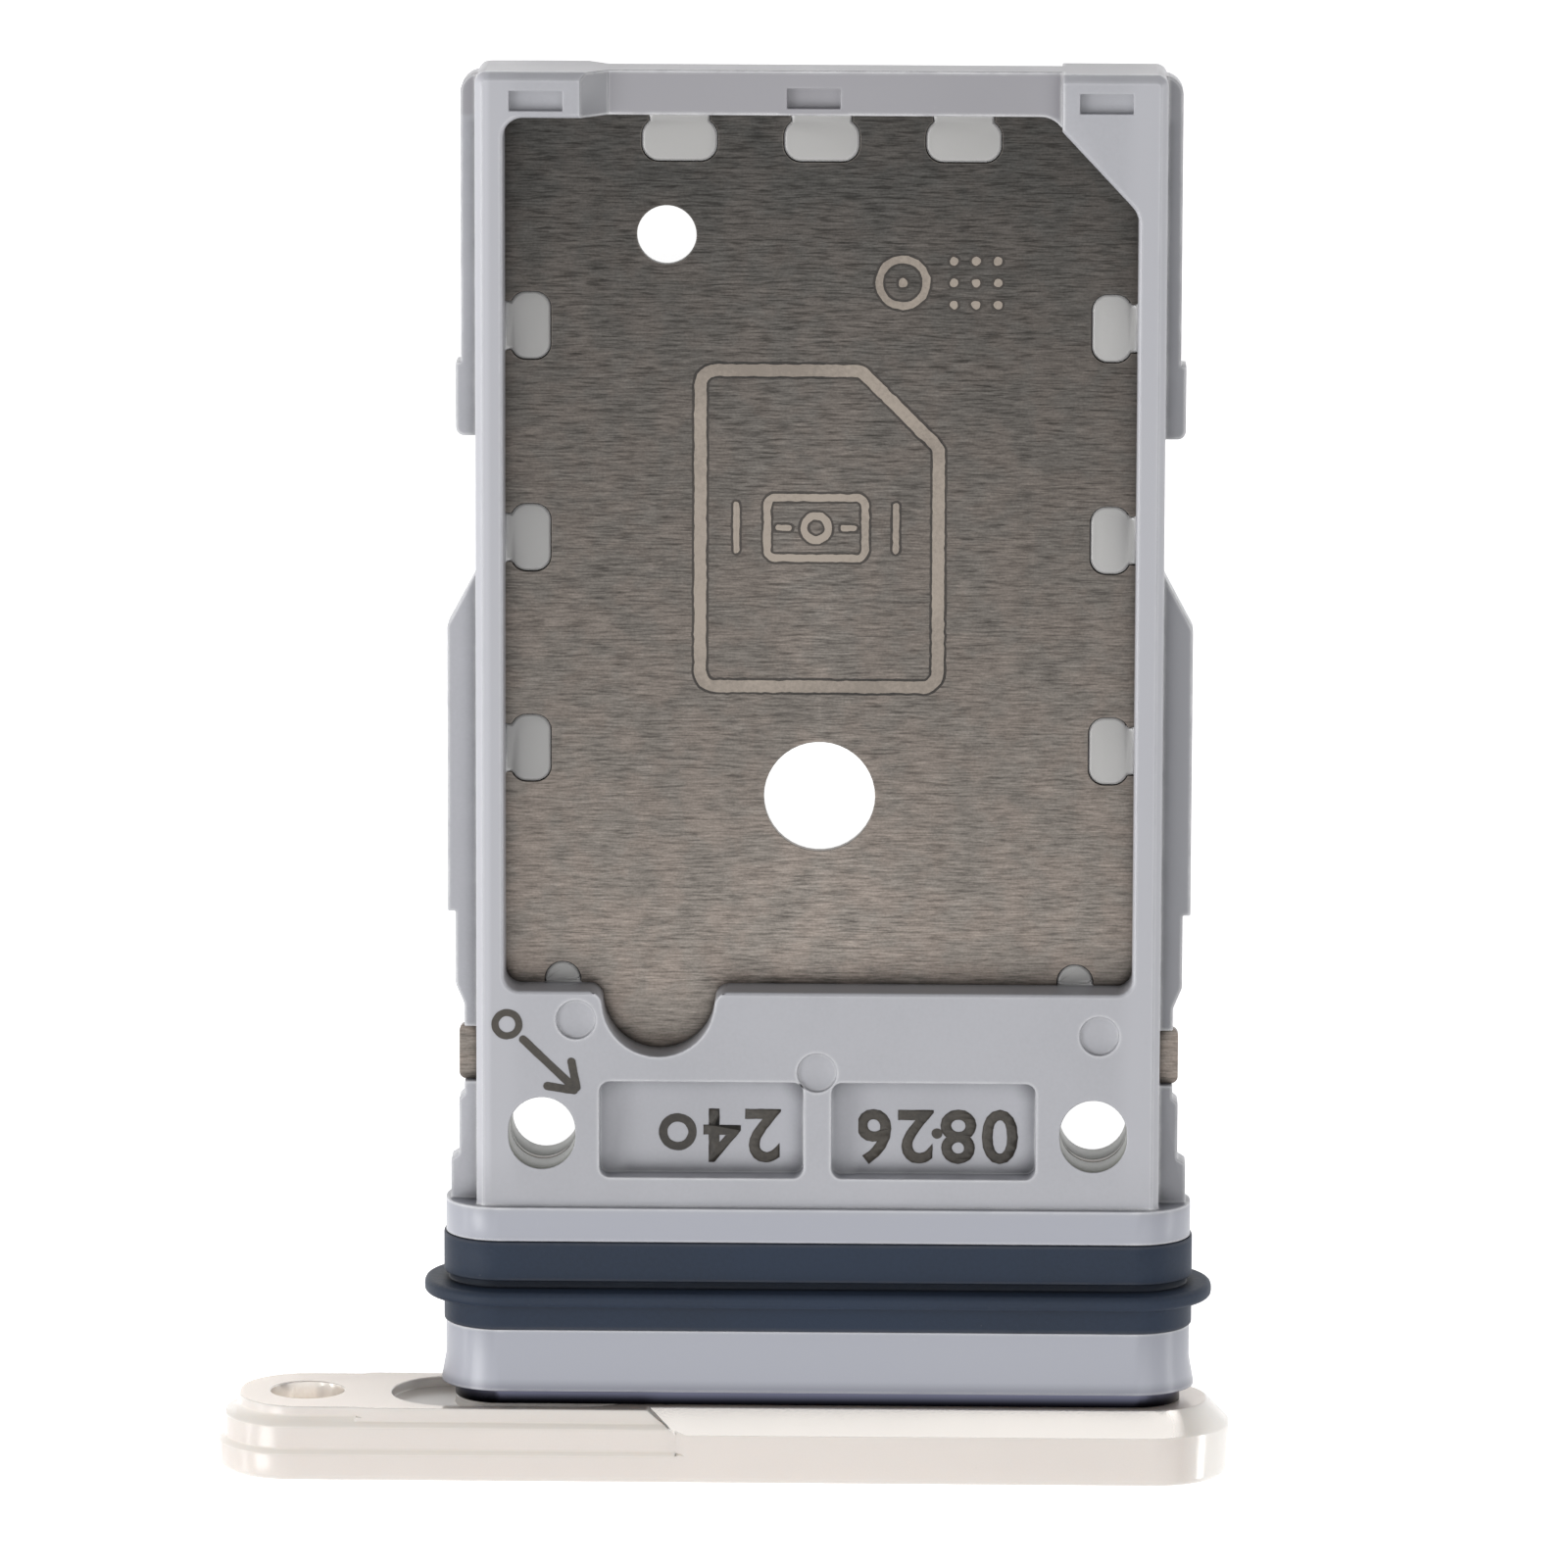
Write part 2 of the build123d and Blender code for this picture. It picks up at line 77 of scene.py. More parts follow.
# Heights and the carrier's centre line, read from the CAD model.
PLATE_LOW, PLATE_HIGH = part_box("steel_plate")
CARRIER_LOW, CARRIER_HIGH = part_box("carrier_frame")
BEZEL_LOW, BEZEL_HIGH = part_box("bezel")
CENTRE_X = (CARRIER_LOW.x + CARRIER_HIGH.x) / 2
PLATE_TOP = PLATE_HIGH.z
BLOCK_TOP = (PLATE_LOW.z + PLATE_HIGH.z) / 2 + 0.78 * MM
WINDOW_FLOOR = BLOCK_TOP - 0.38 * MM

# Places the materials need, in millimetres in the CAD model's frame.
MIDDLE_Z = (BEZEL_LOW.z + BEZEL_HIGH.z) / 2 / MM
RAIL_Z = 1.75
TIP_Y = 9.44
PLATE_REFLECTION_DARK_Y = 8.8
GATE_Y = CARRIER_HIGH.y / MM - 0.40
BLOCK_Y = -3.06
PLATE_REFLECTION_LIGHT_Y = -3.5
DRAIN_Y = -5.08
RAIL_END_Y = -5.7
PLUG_Y = -6.15
SEAT_Y = BEZEL_LOW.y / MM + 1.05
SEAT_FLOOR_Y = SEAT_Y - 0.14
PLUG_ROOT_Y = SEAT_Y + 0.22
EJECT_X = BEZEL_LOW.x / MM + 1.28
RUNOUT_X = -1.07
RUNOUT_SLANT = 0.42 / 0.34

# Places across the carrier, in millimetres from its centre line.
GATE_MIDDLE_X = -0.11
SLOPE_X = (-3.7, -2.9)
DRAIN_X = 3.925
GATE_X = 4.0
RAIL_X = 4.325
KEY_END_X = 4.47
LEFT_RAIL_X = -4.66
FLANGE_X = 4.88
SEAT_END_X = -6.20

# Half widths and radii in millimetres.
KEY_HALF_Z = 0.11
SEAT_HALF_Z = 0.94
GATE_HALF_X = 0.48
GATE_HALF_Y = 0.21
DRAIN_R = 0.475
EJECT_R = 0.53

# Shares of the plastic's colour in the carrier's regions; each one lies over the ones before it. The plug's is a
# bluish tint; the others are painted light: painted shade on the lowered tip, the right flange, the left tab's slope
# and, with an olive tint, the drain holes' walls, and painted highlights on the rails.
REGION_TINTS_AND_SHADES = (
    ("tip", (0.80, 0.78, 0.78)),
    ("flange", (0.76, 0.76, 0.76)),
    ("plug", (0.93, 0.95, 1.00)),
    ("rail", (1.09, 1.09, 1.09)),
    ("left rail", (1.30, 1.30, 1.30)),
    ("hole wall", (0.44, 0.45, 0.34)),
    ("tip slope", (0.58, 0.58, 0.58)),
)

# How the solids' meshes are cleaned and bevelled.
MERGE_DISTANCE = 0.005 * MM
FLAT_ANGLE = math.radians(0.6)
SHARP_ANGLE = math.radians(28)
CREASE_ANGLE = math.radians(50)

# How the raised marks are laid over one another and made uneven; the seed makes every run the same.
LAYER_STEP = 0.0004 * MM
WOBBLE_SEED = 3
WOBBLE_STEP = 0.06 * MM
WOBBLE_LENGTH = 0.09 * MM

# Painted light: pale colours of the bezel's seat walls and eject hole walls, which lie in shade; and the direction
# that its cut chamfer faces.
SEAT_WALL_LIT = (0.98, 0.94, 0.89)
EJECT_WALL_LIT = (0.99, 0.93, 0.87)
CUT_DIRECTION = (0, 0.7071, 0.7071)


def colour(name, text, value):
    """A colour a user may change."""
    return FloatVectorProperty(name=name, description=text, subtype="COLOR", min=0, max=1, size=3, default=value)


def length(name, text, value):
    """A length in metres a user may change."""
    return FloatProperty(name=name, description=text, unit="LENGTH", subtype="DISTANCE", min=0, default=value)


def share(name, text, value, top=1.0):
    """A plain factor a user may change."""
    return FloatProperty(name=name, description=text, subtype="FACTOR", min=0, max=top, default=value)


def power(name, text, value):
    """A lamp's power a user may change."""
    return FloatProperty(name=name, description=text, unit="POWER", min=0, default=value)


class TrayPlasticSettings(PropertyGroup):
    """Finish of the moulded carrier."""

    body: colour("Plastic", "Colour of the moulded plastic", (0.442, 0.445, 0.478))
    # Painted highlight: pale colour laid along the plastic's edges where light catches them.
    edge: colour("Plastic edge", "Paler colour along the plastic's edges", (0.93, 0.93, 0.94))
    key: colour("Key", "Colour of the thin keys that hold the plate", (0.455, 0.450, 0.440))
    # Painted shade: dark colour laid into the plastic's deep corners, where shade falls.
    corner_shade: colour("Painted Corner Shade", "Colour in the plastic's deep corners", (0.042, 0.045, 0.054))
    gap: colour("Shaded gap", "Colour of the upper part of the gap under the plug", (0.085, 0.088, 0.125))
    # Painted shade: near-black colour where the plug meets the bezel.
    seam: colour("Seam dirt", "Dark colour where the plug meets the bezel", (0.004, 0.004, 0.006))
    roughness: share("Roughness", "How matte the plastic is", 0.32)
    softness: length("Edge radius", "Width of the bevel on the plastic's edges", 0.018 * MM)
    key_softness: length("Key edge radius", "Width of the bevel on the keys that hold the plate", 0.05 * MM)
    grain: length("Grain", "Size of the fine grain on the plastic", 0.05 * MM)


class TrayPlateSettings(PropertyGroup):
    """Finish of the brushed insert plate and its etched marks."""

    # Painted reflection: the plate's colour runs from the dark one at the tip to the light one at the block.
    dark: colour("Steel at the tip", "Colour of the plate near the tray's tip", (0.040, 0.038, 0.036))
    light: colour("Steel at the block", "Colour of the plate near the block", (0.152, 0.133, 0.119))
    roughness: share("Roughness", "How matte the brushed steel is", 0.40)
    line_length: length("Brush length", "Length of the brush marks", 0.32 * MM)
    line_width: length("Brush width", "Width of the brush marks", 0.030 * MM)
    etch_core: colour("Etched core", "Light middle of an etched line", (0.285, 0.246, 0.209))
    etch_rim: colour("Etched rim", "Dark burn beside an etched line", (0.034, 0.029, 0.025))
    etch_width: length("Etched width", "Width of the card outline's etched line", 0.240 * MM)
    burn: length("Burn width", "Width of the dark burn on each side of an etched line", 0.034 * MM)
    softness: length("Edge radius", "Width of the bevel on the plate's edges", 0.008 * MM)


class TrayBezelSettings(PropertyGroup):
    """Finish of the anodised bezel."""

    body: colour("Bezel", "Colour of the anodised metal", (0.830, 0.765, 0.715))
    # Painted highlight colour for the edges and the cut chamfer.
    edge: colour("Bezel edge", "Bright colour of its edges and of the cut chamfer", (0.97, 0.92, 0.87))
    # Painted shade: darker colour of the seat's floor, which lies in shade.
    seat: colour("Seat", "Colour of the sunk seat beside the plug", (0.66, 0.61, 0.56))
    roughness: share("Roughness", "How matte the blasted metal is", 0.20)
    softness: length("Edge radius", "Width of the bevel on the metal's edges", 0.02 * MM)
    grain: length("Blast grain", "Size of the blasted grain", 0.03 * MM)


class TraySealSettings(PropertyGroup):
    """Finish of the rubber seal."""

    body: colour("Rubber", "Colour of the rubber", (0.019, 0.029, 0.050))
    # Painted highlight: pale colour of the lip's crest where light catches it.
    lip: colour("Lip", "Paler colour of the lip's rubbed crest", (0.060, 0.064, 0.078))
    roughness: share("Roughness", "How matte the rubber is", 0.55)
    softness: length("Edge radius", "Width of the bevel on the rubber's edges", 0.02 * MM)


class TrayMarkSettings(PropertyGroup):
    """Dark generic marks on the plastic."""

    ink: colour("Mark", "Colour of the dark marks", (0.034, 0.029, 0.023))
    height: length("Mark height", "How far a mark stands off its surface", 0.006 * MM)


class TrayStageSettings(PropertyGroup):
    """Camera, lights and table."""

    aim: FloatVectorProperty(
        name="Aim", description="Point the camera looks at", unit="LENGTH", subtype="XYZ",
        default=(0.8587 * MM, 0.0, 1.98 * MM),
    )
    distance: length("Camera distance", "From the camera to the point it looks at", 160.02 * MM)
    tilt: FloatProperty(
        name="Camera tilt", description="Lean from straight down towards the tray's tip", unit="ROTATION",
        default=math.radians(10.618),
    )
    swing: FloatProperty(
        name="Camera swing", description="Lean from straight down towards the right", unit="ROTATION",
        default=math.radians(1.091),
    )
    roll: FloatProperty(
        name="Camera roll", description="Turn of the picture about the view axis", unit="ROTATION",
        default=math.radians(0.175),
    )
    lens: FloatProperty(name="Lens", description="Focal length in millimetres", min=1, default=259.63)
    top_power: power("Top light", "Power of the large soft light overhead", 1.05)
    key_power: power("Key light", "Power of the light from the upper left", 0.36)
    left_power: power("Left light", "Power of the low left light", 0.14)
    right_power: power("Right light", "Power of the low right light", 0.20)
    sky: share("Sky", "Strength of the even light from all round", 0.25, 2.0)
    table: colour("Table", "Colour of the table", (0.86, 0.86, 0.86))


class Net:
    """Short way to place and join the nodes of a material or a node group."""

    def __init__(self, tree):
        self.tree = tree
        self.column = 0

    def add(self, kind, inputs=None, **settings):
        made = self.tree.nodes.new(kind)
        made.location = (self.column, 0)
        self.column += 180
        for name, value in settings.items():
            setattr(made, name, value)
        for name, value in (inputs or {}).items():
            self.feed(made.inputs[name], value)
        return made

    def feed(self, socket, value):
        if isinstance(value, bpy.types.NodeSocket):
            self.tree.links.new(value, socket)
        elif hasattr(value, "__len__") and len(value) == 3 and len(socket.default_value) == 4:
            socket.default_value = (*value, 1)
        else:
            socket.default_value = value

    def math(self, operation, first, second=0.0, third=0.0, clamp=False):
        made = self.add("ShaderNodeMath", operation=operation, use_clamp=clamp)
        for socket, value in zip(made.inputs, (first, second, third)):
            self.feed(socket, value)
        return made.outputs[0]

    def times(self, *factors):
        """Product of the given values."""
        product = factors[0]
        for factor in factors[1:]:
            product = self.math("MULTIPLY", product, factor)
        return product

    def apart(self, value, centre):
        """How far a value is from a centre, on either side."""
        return self.math("ABSOLUTE", self.math("SUBTRACT", value, centre))

    def vector_math(self, operation, first, second):
        return self.add("ShaderNodeVectorMath", {0: first, 1: second}, operation=operation).outputs["Value"]

    def mix(self, factor, first, second, blend="MIX"):
        made = self.add("ShaderNodeMix", data_type="RGBA", blend_type=blend)
        self.feed(made.inputs["Factor"], factor)
        self.feed(made.inputs[6], first)
        self.feed(made.inputs[7], second)
        return made.outputs[2]

    def ramp(self, value, low, high, bottom=0.0, top=1.0, kind="SMOOTHSTEP"):
        made = self.add("ShaderNodeMapRange", interpolation_type=kind)
        names = ("Value", "From Min", "From Max", "To Min", "To Max")
        for name, number in zip(names, (value, low, high, bottom, top)):
            self.feed(made.inputs[name], number)
        return made.outputs["Result"]

    def past(self, value, edge, soft):
        """0 before an edge and 1 past it; a negative softness turns that round."""
        return self.ramp(value, edge - soft, edge + soft)

    def split(self, vector):
        """X, Y and Z of a vector."""
        return self.add("ShaderNodeSeparateXYZ", {"Vector": vector}).outputs

    def direction(self):
        """The way the surface faces, without its fine relief."""
        return self.add("ShaderNodeNewGeometry").outputs["Normal"]

    def place(self):
        """Position on the piece in millimetres."""
        source = self.add("ShaderNodeTexCoord")
        return self.add("ShaderNodeMapping", {"Vector": source.outputs["Object"], "Scale": (1 / MM,) * 3}).outputs[0]

    def stretch(self, vector, scale):
        return self.add("ShaderNodeMapping", {"Vector": vector, "Scale": scale}).outputs[0]

    def noise(self, vector, scale, detail=2.0, rough=0.5):
        return self.add(
            "ShaderNodeTexNoise", {"Vector": vector, "Scale": scale, "Detail": detail, "Roughness": rough}
        ).outputs["Fac"]


def node_group(name, inputs, outputs):
    """Empty shader node group with named sockets."""
    group = bpy.data.node_groups.new(name, "ShaderNodeTree")
    for label, kind, value in inputs:
        socket = group.interface.new_socket(label, in_out="INPUT", socket_type=kind)
        if value is not None:
            socket.default_value = value
    for label, kind in outputs:
        group.interface.new_socket(label, in_out="OUTPUT", socket_type=kind)
    net = Net(group)
    return net, net.add("NodeGroupInput").outputs, net.add("NodeGroupOutput").inputs


def shared_group(name, build):
    """The named node group, built the first time a material asks for it."""
    if name not in bpy.data.node_groups:
        build(name)
    return bpy.data.node_groups[name]


def build_fine_grain(name):
    """Fine surface grain with a broad, faint unevenness."""
    net, given, out = node_group(
        name,
        [("Position", "NodeSocketVector", None), ("Grain", "NodeSocketFloat", 0.05)],
        [("Height", "NodeSocketFloat"), ("Tone", "NodeSocketFloat")],
    )
    fine_scale = net.math("DIVIDE", 1.0, given["Grain"])
    fine = net.noise(given["Position"], fine_scale, 3.0, 0.6)
    broad = net.noise(given["Position"], 0.35, 3.0, 0.55)
    net.feed(out["Height"], fine)
    net.feed(out["Tone"], net.math("MULTIPLY_ADD", fine, 0.3, net.times(broad, 0.7)))


def build_brushed_lines(name):
    """Straight brush marks across the tray, short ones over long ones."""
    net, given, out = node_group(
        name,
        [
            ("Position", "NodeSocketVector", None),
            ("Line Length", "NodeSocketFloat", 0.30),
            ("Line Width", "NodeSocketFloat", 0.030),
        ],
        [
            ("Height", "NodeSocketFloat"),
            ("Tone", "NodeSocketFloat"),
            ("Cloud", "NodeSocketFloat"),
            ("Dashes", "NodeSocketFloat"),
        ],
    )
    along = net.math("DIVIDE", 1.0, given["Line Length"])
    across = net.math("DIVIDE", 1.0, given["Line Width"])

    def drawn_out(along_share, across_share, detail, rough):
        """Noise drawn out along the brushing."""
        shares = {"X": net.times(along, along_share), "Y": net.times(across, across_share), "Z": across}
        scale = net.add("ShaderNodeCombineXYZ", shares).outputs[0]
        return net.noise(net.stretch(given["Position"], scale), 1.0, detail, rough)

    short = drawn_out(1.0, 1.0, 3.0, 0.7)
    long = drawn_out(0.5, 0.4, 3.0, 0.65)
    dashes = drawn_out(0.8, 0.8, 1.0, 0.5)
    cloud = net.noise(given["Position"], 1.6, 3.0, 0.6)
    mixed = net.math("MULTIPLY_ADD", short, 0.6, net.times(long, 0.28))
    net.feed(out["Height"], mixed)
    net.feed(out["Tone"], net.math("MULTIPLY_ADD", cloud, 0.12, mixed))
    net.feed(out["Cloud"], cloud)
    net.feed(out["Dashes"], net.ramp(dashes, 0.55, 0.67))


def build_painted_edge_highlight(name):
    """Mask for painted highlights along edges, broken up a little so that no edge is even."""
    net, given, out = node_group(
        name,
        [
            ("Position", "NodeSocketVector", None),
            ("Width", "NodeSocketFloat", 0.04),
            ("Amount", "NodeSocketFloat", 1.0),
        ],
        [("Mask", "NodeSocketFloat")],
    )
    rounded = net.add("ShaderNodeBevel", {"Radius": net.times(given["Width"], MM)}, samples=6).outputs[0]
    likeness = net.vector_math("DOT_PRODUCT", rounded, net.direction())
    edge = net.ramp(likeness, 0.995, 0.90)
    broken = net.ramp(net.noise(given["Position"], 2.2, 4.0, 0.6), 0.25, 0.6, 0.45, 1.0)
    net.feed(out["Mask"], net.math("MULTIPLY", net.times(edge, broken), given["Amount"], clamp=True))


def build_dust(name):
    """Few small specks."""
    net, given, out = node_group(
        name,
        [("Position", "NodeSocketVector", None), ("Amount", "NodeSocketFloat", 0.5)],
        [("Mask", "NodeSocketFloat")],
    )
    specks = net.noise(given["Position"], 9.0, 3.0, 0.7)
    net.feed(out["Mask"], net.math("MULTIPLY", net.ramp(specks, 0.70, 0.78), given["Amount"], clamp=True))


def build_painted_corner_shade(name):
    """Painted shade in deep corners and along the foot of walls, from ambient occlusion, a little uneven."""
    net, given, out = node_group(
        name,
        [
            ("Position", "NodeSocketVector", None),
            ("Reach", "NodeSocketFloat", 0.3),
            ("Amount", "NodeSocketFloat", 0.7),
        ],
        [("Mask", "NodeSocketFloat")],
    )
    reach = net.times(given["Reach"], MM)
    open_share = net.add("ShaderNodeAmbientOcclusion", {"Distance": reach}, samples=6).outputs["AO"]
    closed = net.ramp(open_share, 0.90, 0.30)
    uneven = net.ramp(net.noise(given["Position"], 1.8, 3.0, 0.6), 0.3, 0.6, 0.8, 1.0)
    net.feed(out["Mask"], net.math("MULTIPLY", net.times(closed, uneven), given["Amount"], clamp=True))


def effect(net, name, build, inputs):
    """Outputs of a shared node group placed in a material."""
    made = net.add("ShaderNodeGroup", node_tree=shared_group(name, build))
    for label, value in inputs.items():
        net.feed(made.inputs[label], value)
    return made.outputs


def new_material(name):
    """Node material with a Principled shader; returns it with its net and shader."""
    material = bpy.data.materials.new(name)
    material.use_nodes = True
    material.node_tree.nodes.clear()
    net = Net(material.node_tree)
    surface = net.add("ShaderNodeBsdfPrincipled")
    net.add("ShaderNodeOutputMaterial", {"Surface": surface.outputs["BSDF"]})
    return material, net, surface


def raise_surface(net, surface, height, depth):
    """Fine relief of the given depth in metres."""
    bump = net.add("ShaderNodeBump", {"Height": height, "Distance": depth, "Strength": 1.0})
    net.feed(surface.inputs["Normal"], bump.outputs["Normal"])


def mottled(net, grain, body, least, most):
    """Colour that wanders with the grain between two shares of the given one."""
    return net.mix(net.ramp(grain["Tone"], 0.3, 0.7), body * least, body * most)


def from_drain(net, where):
    """Distance in plan from the nearer drain hole's axis, in millimetres."""
    aside = net.apart(where["X"], CENTRE_X / MM)
    across = net.math("POWER", net.math("SUBTRACT", aside, DRAIN_X), 2.0)
    along = net.math("POWER", net.math("SUBTRACT", where["Y"], DRAIN_Y), 2.0)
    return net.math("SQRT", net.math("ADD", across, along))


def carrier_masks(net, where, across, aside, from_hole):
    """Masks of the carrier's regions, most of them for painted shade and painted highlights; across and aside are
    with and without a sign from its centre line.
    """
    normal = net.split(net.direction())
    at_tip = net.past(where["Y"], TIP_Y, 0.04)
    slope_start, slope_end = SLOPE_X
    on_slope = net.times(net.past(across, slope_start, 0.1), net.past(across, slope_end, -0.1))
    on_top = net.times(net.past(where["Z"], RAIL_Z, 0.05), net.past(where["Y"], RAIL_END_Y, 0.5))
    upright = net.past(net.math("ABSOLUTE", normal["Z"]), 0.5, -0.1)
    in_pocket = net.times(net.past(where["Y"], BLOCK_Y, 0.04), net.past(where["Y"], TIP_Y, -0.02))
    thin = net.past(net.apart(where["Z"], MIDDLE_Z), KEY_HALF_Z, -0.01)
    return {
        "tip": net.times(at_tip, net.past(where["Z"], RAIL_Z, -0.10)),
        "flange": net.past(across, FLANGE_X, 0.02),
        "plug": net.past(where["Y"], PLUG_Y, -0.15),
        "rail": net.times(net.past(aside, RAIL_X, 0.175), on_top),
        "left rail": net.times(net.past(across, LEFT_RAIL_X, -0.04), on_top),
        "hole wall": net.times(net.past(from_hole, DRAIN_R + 0.10, -0.02), upright),
        "tip slope": net.times(at_tip, net.past(normal["X"], 0.375, 0.125), on_slope),
        "key": net.times(thin, net.past(aside, KEY_END_X, -0.03), in_pocket),
    }


def edge_highlight_share(net, where, across, aside, from_hole):
    """Share of the painted edge highlight that shows: most on outer edges and at the tip, little round gates and
    holes.
    """
    outer = net.ramp(aside, 4.3, 4.6, 0.55, 1.0)
    highlit = net.math("MAXIMUM", outer, net.ramp(where["Y"], 7.0, 8.0))
    to_gate = net.math("MINIMUM", net.apart(aside, GATE_X), net.apart(across, GATE_MIDDLE_X))
    along_gate = net.past(net.apart(where["Y"], GATE_Y), GATE_HALF_Y, 0.03)
    off_gate = net.math("MAXIMUM", along_gate, net.past(to_gate, GATE_HALF_X, 0.04))
    off_hole = net.ramp(from_hole, DRAIN_R + 0.075, DRAIN_R + 0.125, 0.10, 1.0)
    return net.times(highlit, net.ramp(off_gate, 0.0, 1.0, 0.12, 1.0), off_hole)


def plastic_material(settings):
    """Satin bluish-grey plastic with painted highlights on its edges and rails, and painted shade in its corners, on
    its lowered and right-hand parts, in its holes and in the gap under the plug.
    """
    material, net, surface = new_material("moulded_plastic")
    place = net.place()
    where = net.split(place)
    grain = effect(net, "Fine Grain", build_fine_grain, {"Position": place, "Grain": settings.grain / MM})
    edges = effect(net, "Painted Edge Highlight", build_painted_edge_highlight, {"Position": place, "Width": 0.09, "Amount": 1.0})
    dust = effect(net, "Dust", build_dust, {"Position": place, "Amount": 0.25})
    corner_shade = effect(net, "Painted Corner Shade", build_painted_corner_shade, {"Position": place, "Reach": 0.34, "Amount": 0.88})

    across = net.math("SUBTRACT", where["X"], CENTRE_X / MM)
    aside = net.math("ABSOLUTE", across)
    from_hole = from_drain(net, where)
    masks = carrier_masks(net, where, across, aside, from_hole)
    body = Vector(settings.body)
    tone = mottled(net, grain, body, 0.94, 1.05)
    # Region tints, painted shade and painted highlights laid over the mottled colour.
    for region, shares in REGION_TINTS_AND_SHADES:
        tone = net.mix(masks[region], tone, body * Vector(shares))
    tone = net.mix(masks["key"], tone, settings.key)

    # Painted highlight along the edges, strongest on the outer edges and at the tip.
    highlit = net.times(edges["Mask"], edge_highlight_share(net, where, across, aside, from_hole))
    edge_highlit = net.mix(highlit, tone, settings.edge)
    dusty = net.mix(dust["Mask"], edge_highlit, body * 1.25)
    # Painted shade in corners and at the foot of walls, weaker on the keys and near the tip.
    less_shade_at_tip = net.ramp(where["Y"], 9.3, 9.5, 1.0, 0.45)
    shade = net.times(corner_shade["Mask"], net.ramp(masks["key"], 0.0, 1.0, 1.0, 0.25), less_shade_at_tip)
    corner_shaded = net.mix(shade, dusty, settings.corner_shade)

    # Painted shade in the gap under the plug, deepening to near black where the plug meets the bezel; the gap is
    # made metallic so that its reflection darkens too.
    shaded = net.mix(net.ramp(where["Y"], PLUG_ROOT_Y + 0.20, PLUG_ROOT_Y, 0.0, 0.55), corner_shaded, settings.gap)
    in_gap = net.past(where["Y"], PLUG_ROOT_Y + 0.01, -0.02)
    deep = net.ramp(where["Y"], PLUG_ROOT_Y - 0.02, SEAT_Y + 0.03)
    gap_tone = net.mix(deep, settings.gap, settings.seam)
    net.feed(surface.inputs["Base Color"], net.mix(in_gap, shaded, gap_tone))
    net.feed(surface.inputs["Metallic"], in_gap)
    rough = net.ramp(grain["Tone"], 0.2, 0.8, settings.roughness - 0.05, settings.roughness + 0.06)
    net.feed(surface.inputs["Roughness"], rough)
    raise_surface(net, surface, grain["Height"], 0.0012 * MM)
    return material


def plate_material(settings):
    """Steel brushed across the tray, with a painted reflection gradient that darkens it towards the tip."""
    material, net, surface = new_material("brushed_plate")
    place = net.place()
    where = net.split(place)
    along = where["Y"]
    size = {"Line Length": settings.line_length / MM, "Line Width": settings.line_width / MM}
    lines = effect(net, "Brushed Lines", build_brushed_lines, {"Position": place, **size})
    edges = effect(net, "Painted Edge Highlight", build_painted_edge_highlight, {"Position": place, "Width": 0.03, "Amount": 0.5})
    grain = effect(net, "Fine Grain", build_fine_grain, {"Position": place, "Grain": 0.035})
    corner_shade = effect(net, "Painted Corner Shade", build_painted_corner_shade, {"Position": place, "Reach": 0.17, "Amount": 0.95})

    # Painted reflection gradient, darker towards the tip.
    tone = net.mix(net.ramp(along, PLATE_REFLECTION_DARK_Y, PLATE_REFLECTION_LIGHT_Y, kind="LINEAR"), settings.dark, settings.light)
    tint = net.mix(net.ramp(lines["Cloud"], 0.4, 0.6), (0.98, 1.0, 1.0), (1.02, 1.0, 0.985))
    streak = net.ramp(lines["Tone"], 0.36, 0.64, 0.50, 1.72, "LINEAR")
    speckle = net.ramp(grain["Height"], 0.3, 0.7, 0.90, 1.10)
    for factor in (tint, streak, speckle):
        tone = net.mix(1.0, tone, factor, "MULTIPLY")
    depth = net.ramp(along, PLATE_REFLECTION_DARK_Y, PLATE_REFLECTION_LIGHT_Y, 0.52, 0.12, "LINEAR")
    tone = net.mix(net.times(lines["Dashes"], depth), tone, (0.012, 0.011, 0.010))
    # Painted highlight along the plate's edges.
    bright = net.mix(edges["Mask"], tone, Vector(settings.light) * 1.5)
    # Painted shadow on the plate along the foot of the block's wall.
    by_block = net.ramp(along, -2.5, -2.9, 0.25, 1.0)
    corner_shaded = net.mix(net.times(corner_shade["Mask"], by_block), bright, (0.010, 0.009, 0.008))
    # Painted shade, olive-tinted, on the wall of the plate's hole over each drain hole.
    hole_wall_shade = net.ramp(from_drain(net, where), DRAIN_R + 0.055, DRAIN_R + 0.025)
    net.feed(surface.inputs["Base Color"], net.mix(hole_wall_shade, corner_shaded, (0.060, 0.060, 0.046)))
    surface.inputs["Metallic"].default_value = 1.0
    surface.inputs["Anisotropic"].default_value = 0.5
    rough = net.ramp(lines["Tone"], 0.3, 0.7, settings.roughness - 0.08, settings.roughness + 0.08)
    net.feed(surface.inputs["Roughness"], rough)
    raise_surface(net, surface, lines["Height"], 0.0019 * MM)
    return material


